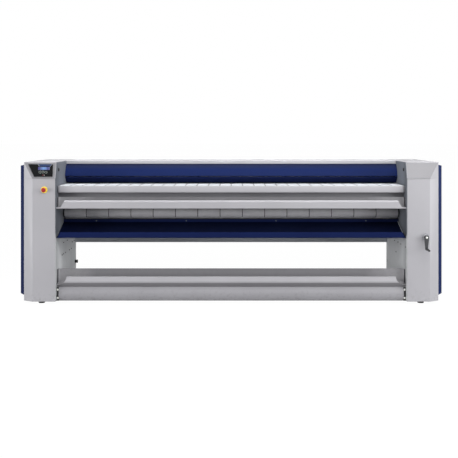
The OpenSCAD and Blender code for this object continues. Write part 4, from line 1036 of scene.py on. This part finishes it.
def on_shaded_slope(middles, normals):
    """The sloping floor of the return pan behind its lip, which takes painted shade."""
    return (middles[:, 1] > 50) & (normals[:, 2] > 0.5)


upper = piece("upper_trough_sheet", bent_sheet(*UPPER_LINE, flap_ends) + round_ends(*UPPER_ENDS),
              finish["light_grey"], replaces=["upper_trough"])
# Painted shade and light on the rear wall
recoat(upper, finish["upper_inside_shaded"], on_shaded_rear_wall)
# Painted shade on the end walls
recoat(upper, finish["trough_end_shade"], on_shaded_end_wall)

# Dark strip that closes the slot between the upper trough's rear wall and the feed table, put
# there as painted shade
SLOT_SHADE_HALF = HALF_GAP - 3.0
SLOT_SHADE_LOW = 1042.0
SLOT_SHADE_HIGH = 1090.0
slot_shade_strip = upright(block(rectangle(-SLOT_SHADE_HALF, SLOT_SHADE_HALF, SLOT_SHADE_LOW, SLOT_SHADE_HIGH), 1,
                           TROUGH_BACK + 1, TROUGH_BACK + 4, 0.8, steps=2))
piece("table_slot_shade_strip", [slot_shade_strip], finish["slot_shade_grey"])

pan = piece("return_pan_sheet", bent_sheet(*PAN_LINE, pan_ends),
            finish["navy"], replaces=["return_pan"])
# Painted shade on the pan's sloping floor
recoat(pan, finish["pan_floor_shade"], on_shaded_slope)

lower = piece("lower_trough_sheet", bent_sheet(*LOWER_LINE, lip_ends) + round_ends(*LOWER_ENDS),
              finish["light_grey"], replaces=["lower_trough"])
# Painted shade and light on the rear wall
recoat(lower, finish["lower_inside_shaded"], on_shaded_rear_wall)
# Painted shade on the end walls
recoat(lower, finish["trough_end_shade"], on_shaded_end_wall)
# Painted shade on the tuck under the lip's nose
recoat(lower, finish["tuck_shade_grey"], on_shaded_tuck)


# Lower front panel with its bolted flanges

KICK_TOP = [58.0, 171.6]
KICK_FOOT = [46.0, 33.0]
KICK_BULGE = 28.0
KICK_BACK = 60.0
KICK_ROWS = 18
FLANGE_IN = 22.0
FLANGE_FRONT = 33.0
FLANGE_LOW = 34.0
FLANGE_HIGH = 170.0
BOLT_IN = 12.0
BOLT_HEIGHTS = (62.0, 143.0)
kick_inner = HALF_GAP - FLANGE_IN
kick_curve = parabola(KICK_TOP, KICK_FOOT, KICK_BULGE, KICK_ROWS)
cheek = np.stack([kick_curve, kick_curve * [0, 1] + [KICK_BACK, 0]], 1)
cheek = np.concatenate([np.full((KICK_ROWS, 2, 1), kick_inner), cheek], -1)
flange = upright(block(rectangle(kick_inner - 2, HALF_GAP - 0.6, FLANGE_LOW, FLANGE_HIGH), 2,
                       FLANGE_FRONT, FLANGE_FRONT + SHEET, 0.8, steps=2))
# The kick panel's darker coat is painted shade under the lower trough
piece("kick_panel", bent_sheet(kick_curve, 0, kick_inner, steps=1) + on_both_sides(cheek),
      finish["kick_shade_grey"], replaces=["lower_front_panel"])
# The kick flanges are black as painted shade between the kick panel and the columns
piece("kick_flanges", on_both_sides(flange), finish["plate_black_and_shade"])


def six_sided(rows):
    """Six sided rings round the last axis, one for each row of (corner radius, distance)."""
    a = np.linspace(0, 2 * np.pi, 7)
    radius, distance = np.asarray(rows, float).T[..., None]
    return np.stack([radius * np.cos(a), radius * np.sin(a), distance + 0 * a], -1)


def hex_bolt(radius, high, washer):
    """A hexagon bolt with a chamfered crown, its washer and its shank, for a seat at zero. The
    head points along -depth."""
    head = six_sided([[radius * share, -out] for share, out in
                      ((0.02, high), (0.86, high), (1.0, high - 1.2), (1.0, 1.6), (0.02, 1.6))])
    ring = lathe([[0.1, 0], [washer, 0], [washer, 1.2], [washer - 0.6, 1.8], [0.1, 1.8]],
                 [0, 0, 0], [0, -1, 0], 24)
    shank = lathe([[0, 0], [4.9, 0], [4.9, 22], [0, 22]], [0, 0, 0], [0, 1, 0], 16)
    return [upright(head), ring, shank]


bolt_places = [[side * (HALF_GAP - BOLT_IN), FLANGE_FRONT, height]
               for side in (-1, 1) for height in BOLT_HEIGHTS]
bolt_grids = [moved for grid in hex_bolt(8.5, 5.6, 10.5) for moved in copies(grid, bolt_places)]
piece("flange_bolts", bolt_grids, finish["zinc"], replaces=["panel_bolts"],
      sharp=30)


# Feet

FOOT_SIDE = HALF_GAP + COLUMN_WIDTH / 2
FOOT_DEPTHS = (120.0, COLUMN_DEEP - 120.0)
# Profiles that are turned round an axis are (radius, distance) points, with bend radii or none
PAD = ([[0, 0], [31, 0], [31, 8], [24, 12.5], [11, 13], [11, 20], [0, 20]],
       [0, 1.5, 3, 3, 1, 1, 0])
NUT = [[9.9, 41], [15.6, 41], [17, 42.4], [17, 51.6], [15.6, 53], [9.9, 53]]
foot_top = span("levelling_feet")[1][2]
foot_places = [[side * FOOT_SIDE, depth, 0] for side in (-1, 1) for depth in FOOT_DEPTHS]
pad = turned(*PAD, [0, 0, 0], [0, 0, 1])
piece("foot_pads", copies(pad, foot_places), finish["rubber"],
      replaces=["levelling_feet"])
stud = lathe([[0, 19], [9.8, 19], [9.8, foot_top - 1.5], [8.4, foot_top], [0, foot_top]],
             [0, 0, 0], [0, 0, 1], 24)
piece("foot_studs", copies(stud, foot_places) + copies(six_sided(NUT), foot_places),
      finish["zinc"], sharp=30)


# Small fasteners

def socket_screw(radius, high, axis):
    """A round screw head with a dished socket, pointing along an axis from its seat."""
    return lathe([[0.01, high * 0.45], [radius * 0.42, high * 0.45], [radius * 0.45, high],
                  [radius * 0.75, high * 0.98], [radius * 0.97, high * 0.55], [radius, 0],
                  [0.01, 0]], [0, 0, 0], axis, 18)


# Black capped screws in the end frames, in rows at three heights
CAP_RADIUS = 5.0
CAP_OUT = 6.0
left_caps = [[381, 562], [574, 562], [857, 511], [975, 512], [303, 446], [381, 446], [487, 446],
             [702, 446], [811, 446]]
right_caps = [[272, 560], [423, 562], [602, 558], [530, 448], [38, 559]]
cap_grids = []
for side, caps in ((-1, left_caps), (1, right_caps)):
    head = turned([[0, CAP_OUT], [CAP_RADIUS, CAP_OUT], [CAP_RADIUS, 0], [0, 0]], [0, 2, 0, 0],
                  [0, 0, 0], [-side, 0, 0], 16, 3)
    cap_grids += copies(head, [[side * HALF_GAP, *at] for at in caps])
piece("frame_screw_caps", cap_grids, finish["rubber"])

# Edge trim on the return pan's back wall, as (depth, height), and the screws under it
TRIM = rectangle(395.5, 404.0, 796.5, 807.5)
trim = block(TRIM, 3, -HALF_GAP + 1, HALF_GAP - 1, 0.5, steps=3)
piece("pan_edge_trim", [sideways(trim)], finish["rubber"])
PAN_SCREW_SIDES = (-1375.0, -458.0, 458.0, 1375.0)
PAN_SCREW_AT = (397.6, 782.0)
pan_screws = [[side, *PAN_SCREW_AT] for side in PAN_SCREW_SIDES]
piece("pan_screws", copies(socket_screw(7, 4, [0, -1, 0]), pan_screws), finish["motor_grey"])

# Screws in the rear panel and the rear covers
SCREW_IN = 20.0
rear_low, rear_high = span("rear_panel")
rear_sides = np.linspace(-HALF_GAP + 25, HALF_GAP - 25, 13)
rear_screws = [[side, rear_high[1], height] for side in rear_sides
               for height in (rear_low[2] + SCREW_IN, rear_high[2] - SCREW_IN)]
cover_sides = (HALF_GAP + 22, HALF_GAP + COLUMN_WIDTH - 25)
cover_screws = [[flip * side, COLUMN_DEEP, height] for flip in (-1, 1) for side in cover_sides
                for height in np.linspace(BASE + 40, TOP - 40, 6)]
piece("rear_screws", copies(socket_screw(6, 3.2, [0, 1, 0]), rear_screws + cover_screws),
      finish["zinc"])

# Joint strips between the three lengths of the rear panel
strip = upright(block(rectangle(-22, 22, rear_low[2] + 4, rear_high[2] - 4), 2, rear_high[1] - 0.5,
                      rear_high[1] + 1.6, 0.7, steps=2))
piece("rear_joint_strips", copies(strip, [[-HALF_GAP / 3, 0, 0], [HALF_GAP / 3, 0, 0]]),
      finish["navy"])


# Rear covers with hooded louvres

LOUVRE_COUNT = 9
LOUVRE_PITCH = 45.0
LOUVRE_LOW = 260.0
LOUVRE_HIGH = 8.0
LOUVRE_IN = 60.0
LOUVRE_OUT = 7.0


def louvre():
    """A pressed hood over a slot: a quarter round that stands out at the slot's lower edge and
    dies away above it, narrowing to nothing at both ends by the root of 1 - s^8."""
    s = np.linspace(-1, 1, 25)[None, :]
    a = np.linspace(0, np.pi / 2, 7)[:, None]
    fade = np.sqrt(np.clip(1 - s ** 8, 0, 1))
    across = HALF_GAP + COLUMN_WIDTH / 2 + s * (COLUMN_WIDTH / 2 - LOUVRE_IN + 4) + 0 * a
    depth = COLUMN_DEEP + LOUVRE_OUT * np.cos(a) * fade
    height = -3 + (LOUVRE_HIGH + 12) * np.sin(a) + 0 * s
    outer = np.stack([across, depth, height], -1)
    inner = outer.copy()
    inner[..., 1] = np.maximum(outer[..., 1] - 1.6, COLUMN_DEEP - 0.5)
    return np.concatenate([outer, inner[::-1], outer[:1]])


louvres = copies(louvre(), [[0, 0, LOUVRE_LOW + i * LOUVRE_PITCH] for i in range(LOUVRE_COUNT)])
piece("rear_louvre_hoods", [hood * flip for flip in (1.0, mirrored) for hood in louvres],
      finish["light_grey"])


# Control panel on the left head

def on_head(grid):
    """Places (out, up, proud) points on the leaning face of the left head."""
    out, up, proud = np.moveaxis(np.asarray(grid, float), -1, 0)
    return np.stack([-(HALF_GAP + out), up * math.sin(HEAD_LEAN) - proud * math.cos(HEAD_LEAN),
                     HEAD_LOW + up * math.cos(HEAD_LEAN) + proud * math.sin(HEAD_LEAN)], -1)


PANEL_THICK = 8.0
PRINT = 0.5
DISPLAY_OUT = 65.0
DISPLAY_UP = 89.0
BUTTON_OUT = (157.0, 128.0, 99.0)
BUTTON_UP = 66.0
BUTTON_RADIUS = 13.0
BUTTON_PROUD = 2.0
BUTTON_LOW = 4.4
RING_BORE = 11.2
# The printed band over the display and the lines beside it: ends across, below and above
BAND_UP = (126.0, 146.5)
BAND = ((66, 161), (44, 183))
BAND_LINES = (((61, 64), (39, 42)), ((163, 166), (185, 188)))
LAMP_UP = 35.0
LAMPS_OUT = {"lamp_pale": 114.0, "lamp_red": 127.0}
LAMP = [[0, PANEL_THICK + 1.4], [2.2, PANEL_THICK + 1.2], [3.6, PANEL_THICK + 0.4],
        [3.8, PANEL_THICK - 0.2], [0, PANEL_THICK - 0.2]]


def printed(name, outline, material, radius=1.0):
    """A thin printed field on the glass."""
    grid = block(outline, radius, PANEL_THICK - 0.2, PANEL_THICK + PRINT, 0.15, steps=2)
    return piece(name, [on_head(grid)], finish[material])


def band_field(below, above):
    """A field with slanted ends in the height of the printed band."""
    low, high = BAND_UP
    return [[below[0], low], [below[1], low], [above[1], high], [above[0], high]]


def display_field():
    """The lit field as one flat grid, so that its map starts in a corner."""
    x = np.linspace(DISPLAY_OUT + DISPLAY_WIDE, DISPLAY_OUT, 12)[None, :]
    y = np.linspace(DISPLAY_UP, DISPLAY_UP + DISPLAY_HIGH, 6)[:, None]
    return np.stack([x + 0 * y, y + 0 * x, np.full((6, 12), PANEL_THICK + PRINT)], -1)


field = on_head(display_field())
piece("display_field", [np.swapaxes(field, 0, 1)], finish["display"],
      wall=PRINT + 0.2)
printed("panel_print_band", band_field(*BAND), "print_blue")
for number, ends in enumerate(BAND_LINES):
    printed(f"panel_print_line_{number}", band_field(*ends), "print_pale", 0.3)
for name, out in LAMPS_OUT.items():
    lens = lathe(LAMP, [out, LAMP_UP, 0], [0, 0, 1], 20)
    piece(f"panel_{name}", [on_head(lens)], finish[name])

crown = PANEL_THICK + BUTTON_PROUD
for name, out in zip(("left", "middle", "right"), BUTTON_OUT):
    ring = turned([[RING_BORE, BUTTON_LOW], [BUTTON_RADIUS, BUTTON_LOW], [BUTTON_RADIUS, crown],
                   [RING_BORE, crown], [RING_BORE, BUTTON_LOW]], [0, 0.3, 0.8, 0.5, 0],
                  [out, BUTTON_UP, 0], [0, 0, 1])
    piece(f"button_ring_{name}", [on_head(ring)], finish["ring_grey"], body=f"panel_button_{name}",
          replaces=[f"panel_button_{name}"])
    face = turned([[0, BUTTON_LOW], [11.1, BUTTON_LOW], [11.1, crown - 0.7], [0, crown - 1.5]],
                  [0, 0.3, 0.6, 0], [out, BUTTON_UP, 0], [0, 0, 1])
    piece(f"button_face_{name}", [on_head(face)], finish["bakelite"],
          body=f"panel_button_{name}")


# Emergency stop

STOP_CAP = 22.5
STOP_BLOCK = 18.0
STOP_PLATE = ([[7, -44], [10.8, -44], [10.8, 0], [32, 0], [32, 4], [17, 4.8], [16, 14], [7, 14],
               [7, -44]], [0, 1, 0.2, 0.2, 1.6, 2, 1.5, 0.5, 0])
STOP_HEAD = ([[6.4, 20.5], [14, 20.5], [14.5, 26], [STOP_CAP, 27.5], [STOP_CAP, 38], [17, 43.5],
              [0, 45]], [0, 1, 2, 2, 4, 6, 0])
forward = [0, -1, 0]
stop_at = face_middle("estop_cap")
stop_block = upright(block(rectangle(stop_at[0] - STOP_BLOCK, stop_at[0] + STOP_BLOCK,
                                     stop_at[2] - STOP_BLOCK, stop_at[2] + STOP_BLOCK),
                           2, 40, 78, 1.5, steps=3))
piece("stop_body", [turned(*STOP_PLATE, stop_at, forward, columns=56), stop_block],
      finish["yellow"], replaces=["estop_body"])
piece("stop_mushroom", [turned(*STOP_HEAD, stop_at, forward, columns=56)], finish["red"],
      body="estop_cap", replaces=["estop_cap"])


# Hand crank

crank_at = face_middle("crank_escutcheon")
CRANK_ARM = crank_at[2] - face_middle("crank_grip")[2]
HUB_RADIUS = 23.0
TIP_RADIUS = 13.0
SHAFT_RADIUS = 9.0
SHAFT_BACK = -299.0
PIN_RADIUS = 5.0
ARM_BACK = 50.0
ARM_FRONT = 62.0
GRIP_START = ARM_FRONT + 1.0
GRIP_TIP = -span("crank_grip")[0][1]
ROSETTE = ([[9.2, -28], [15.8, -28], [15.8, 0], [40, 0], [40, 7.5], [34, 7.5], [32, 3.5],
            [26, 3.5], [24, 14], [9.2, 14], [9.2, -28]],
           [0, 1, 0.2, 0.2, 2.5, 1.5, 1, 1, 2, 0.5, 0])
DISH = ([[24.4, 3.2], [33.4, 3.2], [33.4, 4.2], [24.4, 4.2], [24.4, 3.2]],
        [0, 0.2, 0.2, 0.2, 0])
HUB = ([[8.9, 15], [18, 15], [18, ARM_BACK + 1], [8.9, ARM_BACK + 1]], [0, 1.5, 0.5, 0])
SPINDLE_TIP = ([[0, ARM_FRONT - 1], [11, ARM_FRONT - 1], [11, ARM_FRONT + 4], [0, ARM_FRONT + 6]],
               [0, 0.4, 2.2, 0])
HANDLE = ([[5.2, GRIP_START], [8.2, GRIP_START], [9.4, GRIP_START + 10], [11, GRIP_START + 60],
           [10.4, GRIP_TIP - 12], [9.4, GRIP_TIP], [0, GRIP_TIP]], [0, 1.5, 20, 60, 12, 5, 0])
piece("crank_rosette", [turned(*ROSETTE, crank_at, forward, columns=64)], finish["light_grey"],
      replaces=["crank_escutcheon"])
piece("crank_dish", [turned(*DISH, crank_at, forward, columns=64)], finish["dish_grey"])


def crank_arm():
    """A tapered arm with round ends: the outline is two arcs, of 23 mm round the shaft and of
    13 mm round the grip, joined by straight sides."""
    upper = np.linspace(0, np.pi, 13)
    lower = np.linspace(np.pi, 2 * np.pi, 11)
    hub_end = HUB_RADIUS * np.stack([np.cos(upper), np.sin(upper)], 1)
    grip_end = TIP_RADIUS * np.stack([np.cos(lower), np.sin(lower)], 1) - [0, CRANK_ARM]
    outline = np.concatenate([hub_end, grip_end]) + crank_at[[0, 2]]
    return upright(block(outline, 0.1, -ARM_FRONT, -ARM_BACK, 2.5, steps=4))


def rod(radius, start, end, at, columns):
    """A plain round rod that points forwards."""
    return lathe([[0, start], [radius, start], [radius, end], [0, end]], at, forward, columns)


grip_at = crank_at - [0, 0, CRANK_ARM]
shaft = rod(SHAFT_RADIUS, SHAFT_BACK, ARM_BACK + 2, crank_at, 32)
grip_pin = rod(PIN_RADIUS, ARM_FRONT - 2, GRIP_TIP - 9, grip_at, 24)
piece("crank_arm", [crank_arm(), turned(*HUB, crank_at, forward), shaft, grip_pin],
      finish["crank"], body="hand_crank", replaces=["hand_crank"])
piece("crank_spindle_tip", [turned(*SPINDLE_TIP, crank_at, forward, 32)], finish["zinc"],
      body="hand_crank")
piece("crank_handle", [turned(*HANDLE, grip_at, forward, 36, 6)], finish["bakelite"],
      body="crank_grip", replaces=["crank_grip"])


# Plugs in the end frames and the cable gland

PLUG_AT = [131.0, 1314.0]
GLAND_AT = [1040.0, 277.0]
PLUG = ([[0, -11.5], [11.8, -11.5], [11.8, 0], [17, 0], [17, 5], [12, 8], [0, 8]],
        [0, 1, 0.2, 0.3, 2.5, 3, 0])
GLAND = ([[9, -19.5], [20, -19.5], [20, -12.4], [13.8, -12.2], [13.8, 0], [20, 0], [20, 9],
          [15, 12], [14.5, 16], [19, 19], [19.5, 27], [13, 30], [9, 30], [9, -19.5]],
         [0, 1, 0.5, 0.5, 0.5, 0.5, 2, 1.5, 1.5, 2, 2.5, 1, 0.5, 0])
plug_grids = [turned(*PLUG, [side * HALF_GAP, *PLUG_AT], [-side, 0, 0], 36) for side in (-1, 1)]
plug_grids.append(turned(*GLAND, [-HALF_GAP, *GLAND_AT], [1, 0, 0], 36, 3))
piece("frame_plugs", plug_grids, finish["rubber"],
      replaces=["plugs_and_gland"])


# Pale strip on the return pan's right end, a painted highlight

EDGE_LINE = np.array([[140.0, 683.5], [430.0, 778.5]])
EDGE_ACROSS = (HALF_GAP - 11.0, HALF_GAP - 8.6)
EDGE_HIGH = 11.0


def pan_edge():
    """A narrow upturned flange along the pan's floor: a thin upright strip, pale all over as a
    painted highlight.
    """
    along = np.linspace(0, 1, 12)[:, None]
    line = EDGE_LINE[0] + along * (EDGE_LINE[1] - EDGE_LINE[0])
    inner, outer = EDGE_ACROSS
    corners = [(inner, 0), (inner, EDGE_HIGH), (outer, EDGE_HIGH), (outer, 0), (inner, 0)]
    return np.stack([np.concatenate([0 * along + across, line[:, :1], line[:, 1:] + up], 1)
                     for across, up in corners], 1)


piece("pan_edge_highlight_strip", [pan_edge()], finish["pale_edge_highlight"])


# Studio

FLOOR_REACH = 200.0
FLOOR_GLOW = 0.93
FLOOR_WHITE = 1.06
WORLD_LEVEL = 0.31
# The photograph's width in pixels, a pixel in mm on the columns' front, the camera's place and
# the pixel that it points at
FRAME_PIXELS = 458
PIXEL = 9.75
CAMERA_AWAY = 8429.0
CAMERA_HIGH = 1637.0
VANISH_X = 231.2
VANISH_Y = 137.0
SENSOR = 36.0
# Lamps: place, aim, width, height, watts and, where a grid narrows it, spread in degrees
lamps = {
    "floor_light": ((0.0, -4.4, 5.0), (0.0, -4.4, 0.0), 14.0, 5.0, 40, 40),
    "high_front": ((2.2, -7.6, 6.2), (0.3, -0.5, 0.8), 7.0, 3.0, 385),
    "overhead": ((0.0, 0.3, 6.2), (0.0, 0.3, 0.0), 4.6, 2.0, 24, 16),
    "side_right": ((6.8, -4.2, 1.4), (1.9, -0.4, 0.7), 5.0, 3.6, 290),
    "side_left": ((-7.2, -3.6, 1.2), (-1.9, -0.4, 0.7), 3.2, 2.4, 230),
}


def seen_straight(tree):
    """One where a ray comes from the camera, from a gloss or through glass, else nothing."""
    path = add(tree, "ShaderNodeLightPath").outputs
    either = maths(tree, "MAXIMUM", path["Is Camera Ray"], path["Is Glossy Ray"])
    return maths(tree, "MAXIMUM", either, path["Is Transmission Ray"])


def studio_floor():
    """A plain white floor that glows a little for the camera and keeps the soft shadow."""
    material = bpy.data.materials.new("studio_floor")
    tree = fresh_nodes(material)
    matt = add(tree, "ShaderNodeBsdfDiffuse", {"Color": srgb("A4A4A4")})
    glow = add(tree, "ShaderNodeEmission", {"Color": srgb("FFFFFF"), "Strength": FLOOR_WHITE})
    share = maths(tree, "MULTIPLY", seen_straight(tree), FLOOR_GLOW)
    both = add(tree, "ShaderNodeMixShader", {0: share, 1: matt.outputs[0], 2: glow.outputs[0]})
    add(tree, "ShaderNodeOutputMaterial", {"Surface": both.outputs[0]})
    mesh = bpy.data.meshes.new("studio_floor")
    corners = rectangle(-FLOOR_REACH, FLOOR_REACH, -FLOOR_REACH, FLOOR_REACH)
    mesh.from_pydata([(x, y, 0) for x, y in corners.tolist()], [], [(0, 1, 2, 3)])
    mesh.materials.append(material)
    put("studio_floor", mesh)


def studio_world():
    """A white surround at strength 1 for the camera and gloss, and an even soft light."""
    world = bpy.data.worlds.new("studio")
    tree = fresh_nodes(world)
    level = add(tree, "ShaderNodeMapRange", {"Value": seen_straight(tree), "To Min": WORLD_LEVEL,
                                             "To Max": 1.0})
    sky = add(tree, "ShaderNodeBackground", {"Color": srgb("FFFFFF"),
                                             "Strength": level.outputs[0]})
    add(tree, "ShaderNodeOutputWorld", {"Surface": sky.outputs[0]})
    bpy.context.scene.world = world


def softbox(name, at, aim, wide, high, power, spread=180):
    """A rectangular lamp at a place, turned towards another; a grid narrows its spread."""
    lamp = bpy.data.lights.new(name, "AREA")
    lamp.spread = math.radians(spread)
    lamp.shape = "RECTANGLE"
    lamp.size, lamp.size_y, lamp.energy = wide, high, power
    holder = put(name, lamp)
    holder.location = at
    away = holder.location - Vector(aim)
    holder.rotation_euler = away.to_track_quat("Z", "Y").to_euler()


def camera():
    """The photograph's view: level, 8.43 m in front of the columns and 1.64 m up. One pixel of
    the 458 is 9.75 mm on the front plane, and the frame is shifted down."""
    lens = bpy.data.cameras.new("camera")
    lens.sensor_width = SENSOR
    lens.lens = SENSOR * (CAMERA_AWAY / PIXEL) / FRAME_PIXELS
    lens.shift_x = (FRAME_PIXELS / 2 - VANISH_X) / FRAME_PIXELS
    lens.shift_y = (VANISH_Y - FRAME_PIXELS / 2) / FRAME_PIXELS
    lens.clip_end = 500.0
    holder = put("camera", lens)
    holder.location = (0.0, FRONT - CAMERA_AWAY * MM, CAMERA_HIGH * MM)
    holder.rotation_euler = (math.pi / 2, 0.0, 0.0)
    bpy.context.scene.camera = holder


studio_floor()
studio_world()
for lamp_name, lamp_row in lamps.items():
    softbox(lamp_name, *lamp_row)
camera()
bpy.context.scene.view_settings.view_transform = "Standard"
